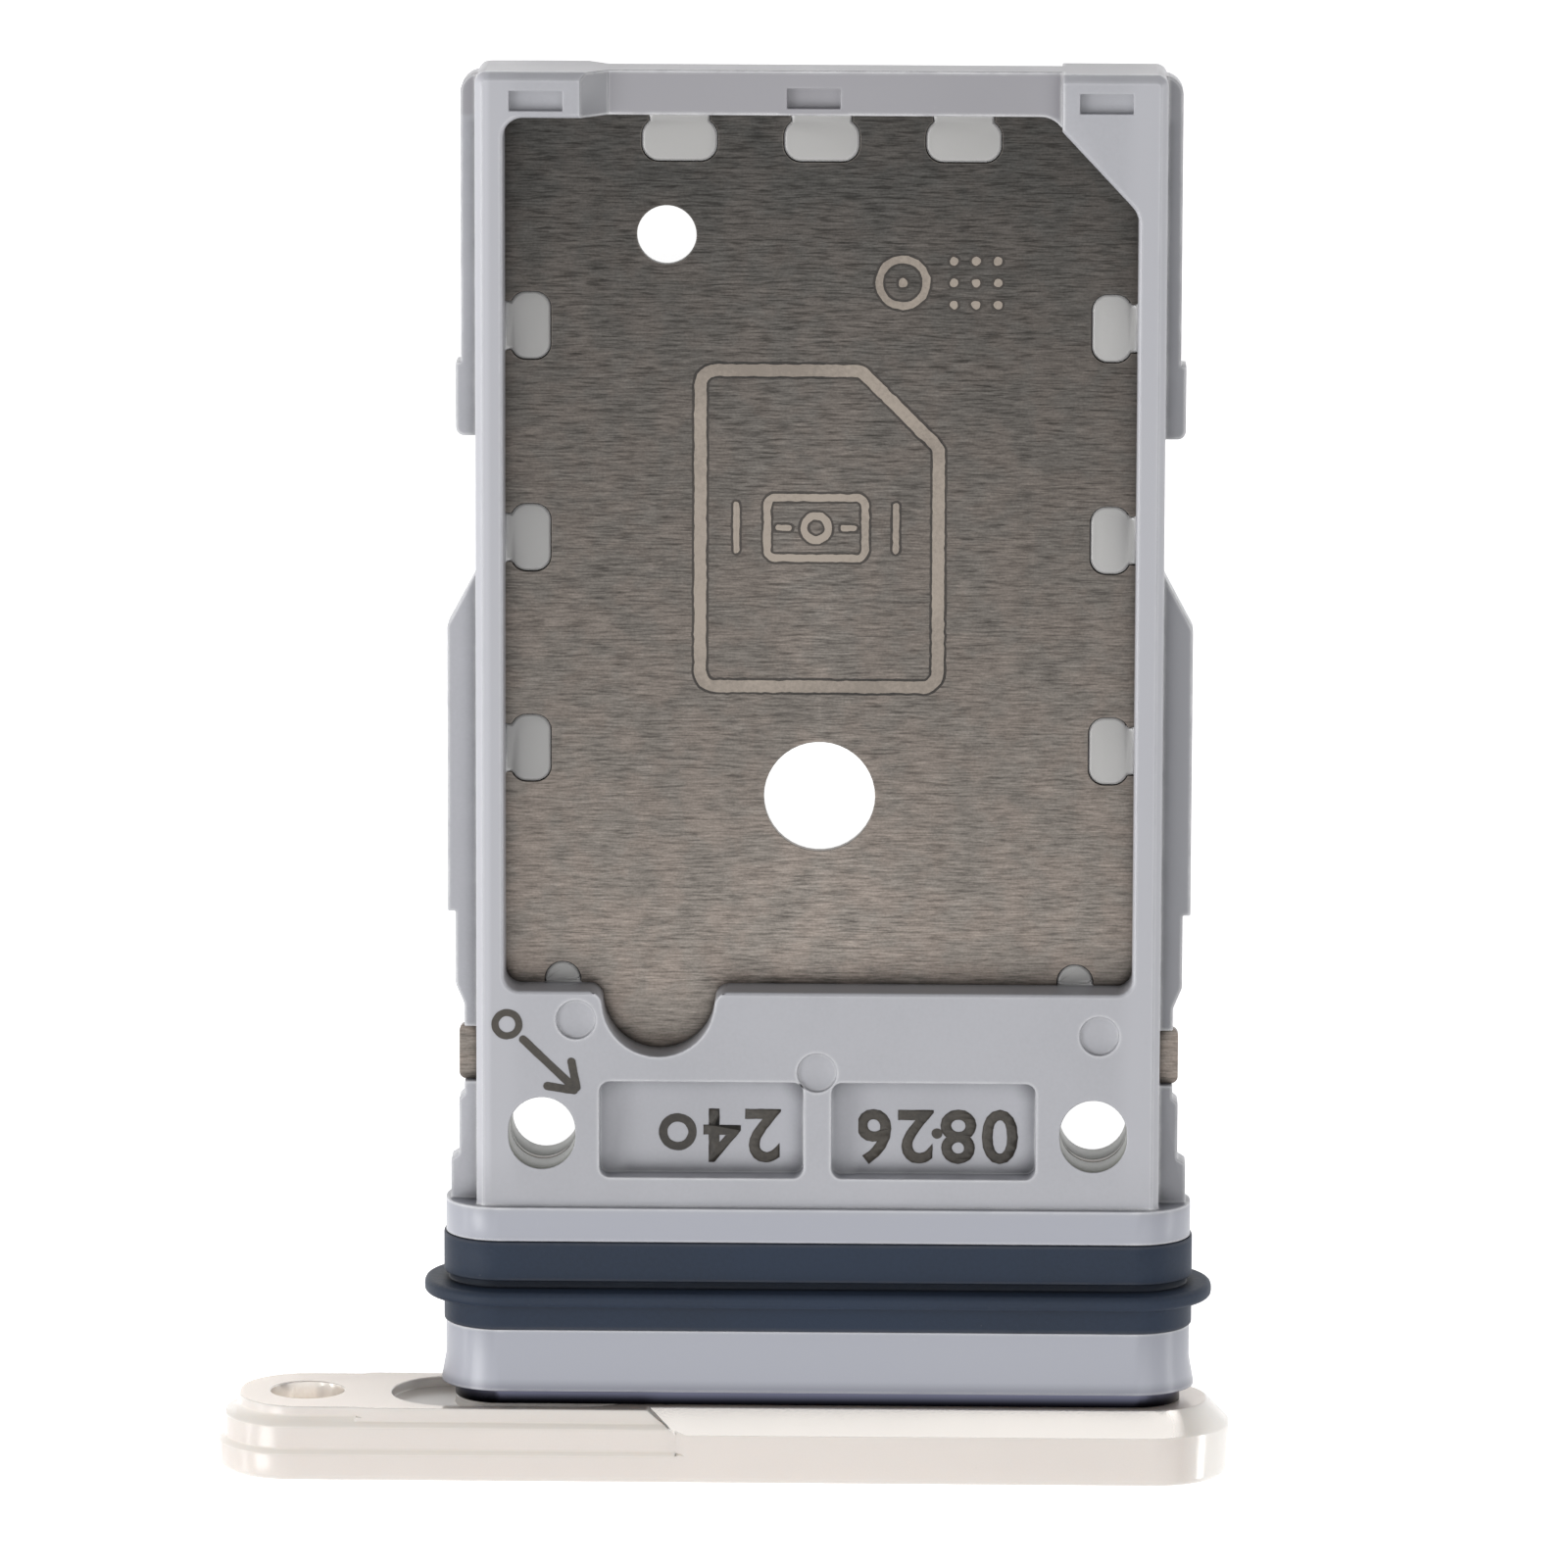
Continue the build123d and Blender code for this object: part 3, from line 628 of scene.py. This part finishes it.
def bezel_masks(net, where):
    """Masks of the bezel's sunk seat, eject hole, cut chamfer, sloped tier faces, faces towards the tip and right
    end, which carry painted light and painted shade.
    """
    direction = net.direction()
    normal = net.split(direction)
    sunk = net.times(net.past(where["Y"], SEAT_Y - 0.04, -0.02), net.past(where["Y"], SEAT_FLOOR_Y - 0.03, 0.02))
    inside = net.past(net.apart(where["Z"], MIDDLE_Z), SEAT_HALF_Z, -0.02)
    slant = net.math("MULTIPLY_ADD", where["Y"], RUNOUT_SLANT, where["X"])
    past_runout = net.past(slant, SEAT_Y * RUNOUT_SLANT + RUNOUT_X, 0.02)
    in_plan = net.add("ShaderNodeCombineXYZ", {"X": where["X"], "Y": 0.0, "Z": where["Z"]}).outputs[0]
    from_axis = net.vector_math("DISTANCE", in_plan, (EJECT_X, 0, MIDDLE_Z))
    sideways = net.past(net.math("ABSOLUTE", normal["Y"]), 0.5, -0.1)
    facing_cut = net.past(net.vector_math("DOT_PRODUCT", direction, CUT_DIRECTION), 0.955, 0.025)
    return {
        "seat": net.times(sunk, inside, net.past(where["X"], CENTRE_X / MM + SEAT_END_X, 0.05)),
        "hole": net.times(net.past(from_axis, EJECT_R + 0.035, -0.015), sideways),
        "cut": net.times(facing_cut, past_runout),
        "facing tip": net.past(normal["Y"], 0.94, 0.04),
        "tilted": net.times(net.past(normal["Y"], 0.21, 0.09), net.past(normal["Y"], 0.85, -0.05)),
        "right end": net.past(normal["X"], 0.5, 0.2),
    }


def bezel_material(settings):
    """Blasted and anodised metal in a warm white, with painted light: paler faces towards the tip, tier slopes,
    right end, cut chamfer, eject hole and seat walls, painted shade on the seat floor, and painted highlights along
    its edges.
    """
    material, net, surface = new_material("anodised_bezel")
    place = net.place()
    grain = effect(net, "Fine Grain", build_fine_grain, {"Position": place, "Grain": settings.grain / MM})
    edges = effect(net, "Painted Edge Highlight", build_painted_edge_highlight, {"Position": place, "Width": 0.06, "Amount": 0.3})
    dust = effect(net, "Dust", build_dust, {"Position": place, "Amount": 0.2})

    masks = bezel_masks(net, net.split(place))
    body = Vector(settings.body)
    # Painted light: the tier slopes that face the tip are made paler.
    lit_slope_tone = body * Vector((1.13, 1.14, 1.13))
    # Painted light: faces turned to the tip are made paler, and a little metallic, because less light reaches them.
    lit_inner_tone = body * Vector((1.06, 1.03, 0.99))
    # The seat's walls get pale painted light, its floor painted shade.
    seat = net.mix(masks["facing tip"], SEAT_WALL_LIT, settings.seat)
    seated = net.mix(masks["seat"], mottled(net, grain, body, 0.98, 1.02), seat)
    # Painted light inside the eject hole, which lies in shade; the hole is also made partly metallic.
    eject_lit = net.mix(masks["hole"], seated, EJECT_WALL_LIT)
    inner_lit = net.mix(masks["facing tip"], eject_lit, net.mix(masks["seat"], lit_inner_tone, eject_lit))
    slopes_lit = net.mix(masks["tilted"], inner_lit, lit_slope_tone)
    # Painted light on the right end, which is also made a little metallic.
    right_end_lit = net.mix(masks["right end"], slopes_lit, settings.edge)
    # Painted highlight on the cut chamfer and along the edges; the chamfer is also made mostly metallic.
    edge_highlit = net.mix(net.math("MAXIMUM", masks["cut"], edges["Mask"]), right_end_lit, settings.edge)
    net.feed(surface.inputs["Base Color"], net.mix(dust["Mask"], edge_highlit, body * 0.85))

    metal = net.times(masks["facing tip"], net.ramp(masks["seat"], 0.0, 1.0, 0.25, 0.0))
    for region, most in (("right end", 0.15), ("hole", 0.6), ("cut", 0.85)):
        metal = net.math("MAXIMUM", metal, net.times(masks[region], most))
    net.feed(surface.inputs["Metallic"], metal)
    surface.inputs["Subsurface Weight"].default_value = 0.35
    surface.inputs["Subsurface Radius"].default_value = (1.0, 0.9, 0.8)
    surface.inputs["Subsurface Scale"].default_value = 0.25 * MM
    rough = net.ramp(grain["Tone"], 0.2, 0.8, settings.roughness - 0.06, settings.roughness + 0.06)
    net.feed(surface.inputs["Roughness"], rough)
    raise_surface(net, surface, grain["Height"], 0.0012 * MM)
    return material


def rubber_material(settings):
    """Dark slate rubber with a painted highlight along its edges and lip crest, and painted shade in its corners."""
    material, net, surface = new_material("seal_rubber")
    place = net.place()
    grain = effect(net, "Fine Grain", build_fine_grain, {"Position": place, "Grain": 0.07})
    edges = effect(net, "Painted Edge Highlight", build_painted_edge_highlight, {"Position": place, "Width": 0.10, "Amount": 1.0})
    dust = effect(net, "Dust", build_dust, {"Position": place, "Amount": 0.35})
    body = Vector(settings.body)
    # Painted highlight along the rubber's edges and the lip's crest.
    edge_highlit = net.mix(edges["Mask"], mottled(net, grain, body, 0.85, 1.2), settings.lip)
    dusty = net.mix(dust["Mask"], edge_highlit, Vector(settings.lip) * 1.5)
    # Painted shade in the rubber's corners and under the lip.
    corner_shade = effect(net, "Painted Corner Shade", build_painted_corner_shade, {"Position": place, "Reach": 0.20, "Amount": 0.9})
    net.feed(surface.inputs["Base Color"], net.mix(corner_shade["Mask"], dusty, body * 0.2))
    rough = net.ramp(grain["Tone"], 0.2, 0.8, settings.roughness - 0.08, settings.roughness + 0.08)
    net.feed(surface.inputs["Roughness"], rough)
    surface.inputs["Specular IOR Level"].default_value = 0.22
    raise_surface(net, surface, grain["Height"], 0.004 * MM)
    return material


def mark_material(name, tone, metal=0.0, least=0.50, most=1.45):
    """Burnt or etched mark whose tone wanders between two shares of the given one."""
    material, net, surface = new_material(name)
    place = net.place()
    grain = effect(net, "Fine Grain", build_fine_grain, {"Position": place, "Grain": 0.06})
    tone = Vector(tone)
    net.feed(surface.inputs["Base Color"], net.mix(net.ramp(grain["Tone"], 0.38, 0.62), tone * least, tone * most))
    surface.inputs["Metallic"].default_value = metal
    surface.inputs["Roughness"].default_value = 0.6
    raise_surface(net, surface, grain["Height"], 0.004 * MM)
    return material


def finish_piece(piece, material):
    """Gives a piece its material and its body."""
    piece.data.materials.clear()
    piece.data.materials.append(material)
    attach(piece, BODY)


def mesh_piece(name, bm):
    """New object at the origin that holds the finished mesh."""
    mesh = bpy.data.meshes.new(name)
    bm.to_mesh(mesh)
    bm.free()
    piece = bpy.data.objects.new(name, mesh)
    bpy.context.scene.collection.objects.link(piece)
    return piece


def round_off(bm, parts, width, kind, segments):
    """Rounds edges or corners off by the given width."""
    bmesh.ops.bevel(
        bm, geom=parts, offset=width, offset_type="OFFSET", affect=kind, segments=segments, profile=0.5,
        material=-1, clamp_overlap=False,
    )


def sharp_edges(bm):
    """Edges that a real tool or mould would leave a little rounded."""
    return [edge for edge in bm.edges if edge.calc_face_angle(0) > SHARP_ANGLE]


def softened_copy(node, name, width, wide=None, wide_width=0.0):
    """Copy of a CAD node with its sharp edges bevelled, held in the node's box, which stands for the node."""
    bm = bmesh.new()
    bm.from_mesh(frame["nodes"][node].data)
    bmesh.ops.remove_doubles(bm, verts=bm.verts, dist=MERGE_DISTANCE)
    bmesh.ops.dissolve_limit(bm, angle_limit=FLAT_ANGLE, verts=bm.verts, edges=bm.edges)
    if wide:
        round_off(bm, [edge for edge in sharp_edges(bm) if wide(edge)], wide_width, "EDGES", 3)
    round_off(bm, sharp_edges(bm), width, "EDGES", 2)
    low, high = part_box(node)
    for vert in bm.verts:
        vert.co = [min(max(value, least), most) for value, least, most in zip(vert.co, low, high)]
    piece = mesh_piece(name, bm)
    piece.data.shade_smooth()
    piece.data.set_sharp_from_angle(angle=CREASE_ANGLE)
    even = piece.modifiers.new("even_shading", "WEIGHTED_NORMAL")
    even.keep_sharp = True
    even.weight = 100
    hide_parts(node)
    return piece


def flat_outline(corners):
    """Bmesh of one flat face from (x, y, corner radius) points in millimetres, with rounded corners."""
    bm = bmesh.new()
    verts = [bm.verts.new((x * MM, y * MM, 0)) for x, y, _ in corners]
    bm.faces.new(verts)
    rounded = [(vert, radius) for vert, (_, _, radius) in zip(verts, corners) if radius]
    for vert, radius in rounded:
        round_off(bm, [vert], radius * MM, "VERTICES", 6)
    return bm


def hollow(bm, line):
    """Keeps only a band of the given width, in metres, along the outline of each flat face."""
    faces = list(bm.faces)
    bmesh.ops.inset_individual(bm, faces=faces, thickness=line, use_even_offset=True)
    bmesh.ops.delete(bm, geom=faces, context="FACES")


def disc_shape(x, y, radius, line=0.0):
    """Disc, or ring when a line width is given; millimetres."""
    bm = bmesh.new()
    bmesh.ops.create_circle(bm, cap_ends=True, segments=32, radius=radius * MM)
    if line:
        hollow(bm, line * MM)
    bmesh.ops.translate(bm, verts=bm.verts, vec=(x * MM, y * MM, 0))
    return bm


def bar_shape(x, y, long, wide, turn=0.0):
    """Bar with round ends, turned by degrees; millimetres."""
    half = long / 2
    side = wide / 2
    end = min(half, side) * 0.98
    corners = [(-half, -side, end), (half, -side, end), (half, side, end), (-half, side, end)]
    bm = flat_outline(corners)
    bmesh.ops.rotate(bm, verts=bm.verts, cent=(0, 0, 0), matrix=Matrix.Rotation(math.radians(turn), 3, "Z"))
    bmesh.ops.translate(bm, verts=bm.verts, vec=(x * MM, y * MM, 0))
    return bm


def frame_shape(corners, line):
    """Hollow outline with rounded corners; millimetres."""
    bm = flat_outline(corners)
    hollow(bm, line * MM)
    return bm


def grow(bm, amount):
    """Widens flat shapes by moving their rims outwards, in metres."""
    rims = [vert for vert in bm.verts if vert.is_boundary]
    shifts = []
    for vert in rims:
        push = Vector()
        for edge in vert.link_edges:
            if edge.is_boundary:
                face = edge.link_faces[0]
                middle = (edge.verts[0].co + edge.verts[1].co) / 2
                out = (edge.verts[1].co - edge.verts[0].co).cross(Vector((0, 0, 1))).normalized()
                if out.dot(middle - face.calc_center_median()) < 0:
                    out.negate()
                push += out
        shifts.append(push.normalized() * amount)
    for vert, shift in zip(rims, shifts):
        vert.co += shift


def mark_piece(name, shapes, base, height, widen=0.0, wobble=0.0):
    """One thin piece from flat shapes, standing a little off the surface it marks."""
    whole = bmesh.new()
    for layer, shape in enumerate(shapes):
        if widen:
            grow(shape, widen)
        bmesh.ops.translate(shape, verts=shape.verts, vec=(0, 0, LAYER_STEP * (layer % 4)))
        part = bpy.data.meshes.new("part")
        shape.to_mesh(part)
        shape.free()
        whole.from_mesh(part)
        bpy.data.meshes.remove(part)
    if wobble:
        noise.seed_set(WOBBLE_SEED)
        long_edges = [edge for edge in whole.edges if edge.calc_length() > 2 * WOBBLE_STEP]
        for edge in long_edges:
            if edge.is_valid:
                bmesh.ops.subdivide_edges(whole, edges=[edge], cuts=int(edge.calc_length() / WOBBLE_STEP))
        for vert in whole.verts:
            vert.co += noise.noise_vector(vert.co / WOBBLE_LENGTH) * Vector((1, 1, 0)) * wobble
    faces = list(whole.faces)
    bmesh.ops.recalc_face_normals(whole, faces=faces)
    raised = bmesh.ops.extrude_face_region(whole, geom=faces)["geom"]
    tops = [item for item in raised if isinstance(item, bmesh.types.BMVert)]
    bmesh.ops.translate(whole, verts=tops, vec=(0, 0, height))
    bmesh.ops.translate(whole, verts=whole.verts, vec=(0, 0, base))
    bmesh.ops.recalc_face_normals(whole, faces=whole.faces)
    return mesh_piece(name, whole)


def card_outline(line):
    """Etched outline of a card with a cut corner; the line's width in millimetres."""
    centre = CENTRE_X / MM
    left, right, low, high = centre - 1.82, centre + 1.79, 1.16, 5.93
    cut = 1.17
    corners = [
        (left, low, 0.33),
        (right, low, 0.33),
        (right, high - cut, 0.12),
        (right - cut, high, 0.12),
        (left, high, 0.33),
    ]
    return [frame_shape(corners, line)]


def numerals(words, x, y, tall, thicken):
    """Plain numbers that read from the tray's far side, as flat faces; millimetres."""
    curve = bpy.data.curves.new("numerals", "FONT")
    curve.body = words
    curve.size = tall / 0.7 * MM
    curve.offset = thicken * MM
    curve.resolution_u = 4
    curve.space_character = 1.12
    curve.align_x = "CENTER"
    curve.align_y = "CENTER"
    holder = bpy.data.objects.new("numerals", curve)
    bpy.context.scene.collection.objects.link(holder)
    mesh = bpy.data.meshes.new_from_object(holder.evaluated_get(bpy.context.evaluated_depsgraph_get()))
    bpy.data.objects.remove(holder)
    bm = bmesh.new()
    bm.from_mesh(mesh)
    bpy.data.meshes.remove(mesh)
    bmesh.ops.remove_doubles(bm, verts=bm.verts, dist=0.001 * MM)
    bmesh.ops.rotate(bm, verts=bm.verts, cent=(0, 0, 0), matrix=Matrix.Rotation(math.pi, 3, "Z"))
    bmesh.ops.translate(bm, verts=bm.verts, vec=(x * MM, y * MM, 0))
    return bm


def plate_symbols(line):
    """Two generic signs etched on the plate: a contact pad in the card outline, and a ring with a dot grid."""
    centre = CENTRE_X / MM
    pad_x, pad_y = centre - 0.06, 3.56
    half_w, half_h = 0.78, 0.52
    pad = [
        (pad_x - half_w, pad_y - half_h, 0.20),
        (pad_x + half_w, pad_y - half_h, 0.20),
        (pad_x + half_w, pad_y + half_h, 0.20),
        (pad_x - half_w, pad_y + half_h, 0.20),
    ]
    shapes = [frame_shape(pad, line), disc_shape(pad_x, pad_y, 0.26, line)]
    for side in (-1, 1):
        shapes.append(bar_shape(pad_x + side * 0.46, pad_y, 0.30, line * 0.9))
        shapes.append(bar_shape(pad_x + side * 1.13, pad_y, line * 0.9, 0.80))
    sign_x, sign_y = centre + 1.15, 7.07
    shapes.append(disc_shape(sign_x, sign_y, 0.42, line))
    shapes.append(disc_shape(sign_x, sign_y, 0.10))
    for column in range(3):
        for row in range(3):
            shapes.append(disc_shape(sign_x + 0.72 + 0.31 * column, sign_y + 0.31 * (row - 1), 0.095))
    return shapes


def window_symbols():
    """Plain numbers and simple signs in the two windows."""
    centre = CENTRE_X / MM
    y = -5.13
    tall, thicken = 0.74, 0.024
    return [
        numerals("24", centre - 1.08, y, tall, thicken),
        disc_shape(centre - 2.00, y, 0.27, 0.12),
        numerals("26", centre + 1.10, y, tall, thicken),
        disc_shape(centre + 1.70, y, 0.075),
        numerals("08", centre + 2.30, y, tall, thicken),
    ]


def block_symbols():
    """Slanted arrow on the block's corner."""
    centre = CENTRE_X / MM
    tail = Vector((centre - 4.42, -3.50))
    tip = Vector((centre - 3.42, -4.46))
    slant = math.degrees(math.atan2(tip.y - tail.y, tip.x - tail.x))
    line = 0.115
    start = tail + (tip - tail).normalized() * 0.26
    middle = (start + tip) / 2
    shapes = [bar_shape(middle.x, middle.y, (tip - start).length, line, slant)]
    for side in (-1, 1):
        turn = math.radians(slant + side * 145)
        end = tip + Vector((math.cos(turn), math.sin(turn))) * 0.24
        shapes.append(bar_shape(end.x, end.y, 0.50, line, math.degrees(turn)))
    shapes.append(disc_shape(tail.x, tail.y, 0.22, 0.10))
    return shapes


class TRAY_OT_bezel(Operator):
    """Dress the metal bezel"""

    bl_idname = "tray.bezel"
    bl_label = "Bezel"

    def execute(self, context):
        settings = context.scene.tray_bezel
        piece = softened_copy("bezel", "bezel_strip", settings.softness)
        finish_piece(piece, bezel_material(settings))
        return {"FINISHED"}


class TRAY_OT_carrier(Operator):
    """Dress the moulded carrier"""

    bl_idname = "tray.carrier"
    bl_label = "Carrier"

    def execute(self, context):
        settings = context.scene.tray_plastic
        recess, near = 0.02 * MM, 0.004 * MM
        key_faces = (PLATE_TOP - recess, PLATE_LOW.z + recess)

        def on_key(edge):
            return any(all(abs(vert.co.z - face) < near for vert in edge.verts) for face in key_faces)

        piece = softened_copy("carrier_frame", "carrier_moulding", settings.softness, on_key, settings.key_softness)
        finish_piece(piece, plastic_material(settings))
        return {"FINISHED"}


class TRAY_OT_plate(Operator):
    """Dress the brushed plate"""

    bl_idname = "tray.plate"
    bl_label = "Plate"

    def execute(self, context):
        settings = context.scene.tray_plate
        piece = softened_copy("steel_plate", "brushed_sheet", settings.softness)
        finish_piece(piece, plate_material(settings))
        return {"FINISHED"}


class TRAY_OT_seal(Operator):
    """Dress the rubber seal"""

    bl_idname = "tray.seal"
    bl_label = "Seal"

    def execute(self, context):
        settings = context.scene.tray_seal
        piece = softened_copy("seal_ring", "rubber_ring", settings.softness)
        finish_piece(piece, rubber_material(settings))
        return {"FINISHED"}


class TRAY_OT_etching(Operator):
    """Etch the card outline and the generic signs on the plate"""

    bl_idname = "tray.etching"
    bl_label = "Etched marks"

    def execute(self, context):
        settings = context.scene.tray_plate
        core = mark_material("etched_core", settings.etch_core, 0.4, 0.78, 1.16)
        rim = mark_material("etched_rim", settings.etch_rim, 0.3)
        thin, sunk, wobble = 0.004 * MM, 0.002 * MM, 0.015 * MM
        layers = (("rim", rim, 0.0, thin), ("core", core, -settings.burn, 2 * thin))
        line = settings.etch_width / MM
        for layer, material, widen, height in layers:
            for name, made in (("outline", card_outline(line)), ("signs", plate_symbols(line * 0.72))):
                piece = mark_piece(f"etched_{name}_{layer}", made, PLATE_TOP - sunk, height, widen, wobble)
                finish_piece(piece, material)
        return {"FINISHED"}


class TRAY_OT_marks(Operator):
    """Add the generic dark signs on the plastic"""

    bl_idname = "tray.marks"
    bl_label = "Dark marks"

    def execute(self, context):
        settings = context.scene.tray_mark
        material = mark_material("dark_mark", settings.ink)
        sunk, wobble = 0.003 * MM, 0.006 * MM
        for name, made, floor in (
            ("window_signs", window_symbols(), WINDOW_FLOOR),
            ("block_sign", block_symbols(), BLOCK_TOP),
        ):
            piece = mark_piece(name, made, floor - sunk, settings.height + sunk, wobble=wobble)
            finish_piece(piece, material)
        return {"FINISHED"}


def area_light(name, place, aim, size, power):
    """Soft rectangular lamp that points at the tray."""
    lamp = bpy.data.lights.new(name, "AREA")
    lamp.shape = "RECTANGLE"
    lamp.size, lamp.size_y = size
    lamp.energy = power
    obj = bpy.data.objects.new(name, lamp)
    obj.location = place
    obj.rotation_euler = (Vector(aim) - Vector(place)).to_track_quat("-Z", "Y").to_euler()
    bpy.context.scene.collection.objects.link(obj)


def seen_rays(net):
    """1 for the rays that show the background: camera, glossy and transmission rays."""
    path = net.add("ShaderNodeLightPath").outputs
    seen = net.math("MAXIMUM", path["Is Camera Ray"], path["Is Glossy Ray"])
    return net.math("MAXIMUM", seen, path["Is Transmission Ray"])


class TRAY_OT_stage(Operator):
    """Set the table, the lights and the camera"""

    bl_idname = "tray.stage"
    bl_label = "Stage"

    def execute(self, context):
        settings = context.scene.tray_stage
        scene = context.scene
        scene.view_settings.view_transform = "Standard"
        self.table(settings)
        self.lights(scene, settings)
        self.camera(scene, settings)
        return {"FINISHED"}

    def table(self, settings):
        reach, below = 0.6, 0.005 * MM
        bm = bmesh.new()
        bmesh.ops.create_grid(bm, x_segments=1, y_segments=1, size=reach)
        bmesh.ops.translate(bm, verts=bm.verts, vec=(0, 0, -below))
        table = mesh_piece("table", bm)
        material = bpy.data.materials.new("table")
        material.use_nodes = True
        material.node_tree.nodes.clear()
        net = Net(material.node_tree)
        matte = net.add("ShaderNodeBsdfDiffuse", {"Color": settings.table})
        glow = net.add("ShaderNodeEmission", {"Color": (1, 1, 1), "Strength": 0.94})
        lift = net.add("ShaderNodeMixShader", {"Fac": seen_rays(net)})
        both = net.add("ShaderNodeAddShader")
        net.feed(both.inputs[0], matte.outputs[0])
        net.feed(both.inputs[1], glow.outputs[0])
        net.feed(lift.inputs[1], matte.outputs[0])
        net.feed(lift.inputs[2], both.outputs[0])
        net.add("ShaderNodeOutputMaterial", {"Surface": lift.outputs[0]})
        table.data.materials.append(material)

    def lights(self, scene, settings):
        aim = settings.aim
        area_light("top_light", (0.0, -0.17, 0.44), aim, (0.70, 0.46), settings.top_power)
        area_light("key_light", (-0.22, -0.05, 0.20), aim, (0.12, 0.12), settings.key_power)
        area_light("left_side", (-0.28, -0.02, 0.055), aim, (0.24, 0.035), settings.left_power)
        area_light("right_side", (0.28, -0.02, 0.055), aim, (0.24, 0.035), settings.right_power)
        world = bpy.data.worlds.new("studio")
        scene.world = world
        world.use_nodes = True
        world.node_tree.nodes.clear()
        net = Net(world.node_tree)
        strength = net.ramp(seen_rays(net), 0.0, 1.0, settings.sky, 1.0, "LINEAR")
        back = net.add("ShaderNodeBackground", {"Color": (1, 1, 1), "Strength": strength})
        net.add("ShaderNodeOutputWorld", {"Surface": back.outputs[0]})

    def camera(self, scene, settings):
        tilt, swing = settings.tilt, settings.swing
        back = Vector((math.sin(swing) * math.cos(tilt), math.sin(tilt), math.cos(swing) * math.cos(tilt)))
        right = Vector((0, 1, 0)).cross(back).normalized()
        up = back.cross(right)
        turn = Matrix((right, up, back)).transposed() @ Matrix.Rotation(settings.roll, 3, "Z")
        data = bpy.data.cameras.new("camera")
        data.lens = settings.lens
        data.sensor_width = 36
        data.clip_start = 0.001
        data.clip_end = 10
        camera = bpy.data.objects.new("camera", data)
        camera.matrix_world = Matrix.Translation(Vector(settings.aim) + back * settings.distance) @ turn.to_4x4()
        scene.collection.objects.link(camera)
        scene.camera = camera


class TRAY_PT_panel(Panel):
    """Lists the tray's pieces and its stage"""

    bl_idname = "TRAY_PT_panel"
    bl_label = "Card Tray"
    bl_space_type = "VIEW_3D"
    bl_region_type = "UI"
    bl_category = "Card Tray"

    def draw(self, context):
        for operator in OPERATORS:
            self.layout.operator(operator.bl_idname)
        for name, _ in SETTINGS:
            group = getattr(context.scene, name)
            box = self.layout.box()
            for key in group.bl_rna.properties.keys():
                if key not in ("rna_type", "name"):
                    box.prop(group, key)


SETTINGS = (
    ("tray_plastic", TrayPlasticSettings),
    ("tray_plate", TrayPlateSettings),
    ("tray_bezel", TrayBezelSettings),
    ("tray_seal", TraySealSettings),
    ("tray_mark", TrayMarkSettings),
    ("tray_stage", TrayStageSettings),
)
OPERATORS = (
    TRAY_OT_bezel,
    TRAY_OT_carrier,
    TRAY_OT_plate,
    TRAY_OT_seal,
    TRAY_OT_etching,
    TRAY_OT_marks,
    TRAY_OT_stage,
)


def register():
    for name, group in SETTINGS:
        bpy.utils.register_class(group)
        setattr(bpy.types.Scene, name, PointerProperty(type=group))
    for operator in OPERATORS:
        bpy.utils.register_class(operator)
    bpy.utils.register_class(TRAY_PT_panel)


def unregister():
    bpy.utils.unregister_class(TRAY_PT_panel)
    for operator in reversed(OPERATORS):
        bpy.utils.unregister_class(operator)
    for name, group in reversed(SETTINGS):
        delattr(bpy.types.Scene, name)
        bpy.utils.unregister_class(group)


def main():
    """Makes every piece and the stage."""
    register()
    for operator in OPERATORS:
        group, name = operator.bl_idname.split(".")
        getattr(getattr(bpy.ops, group), name)()


if __name__ == "__main__":
    main()
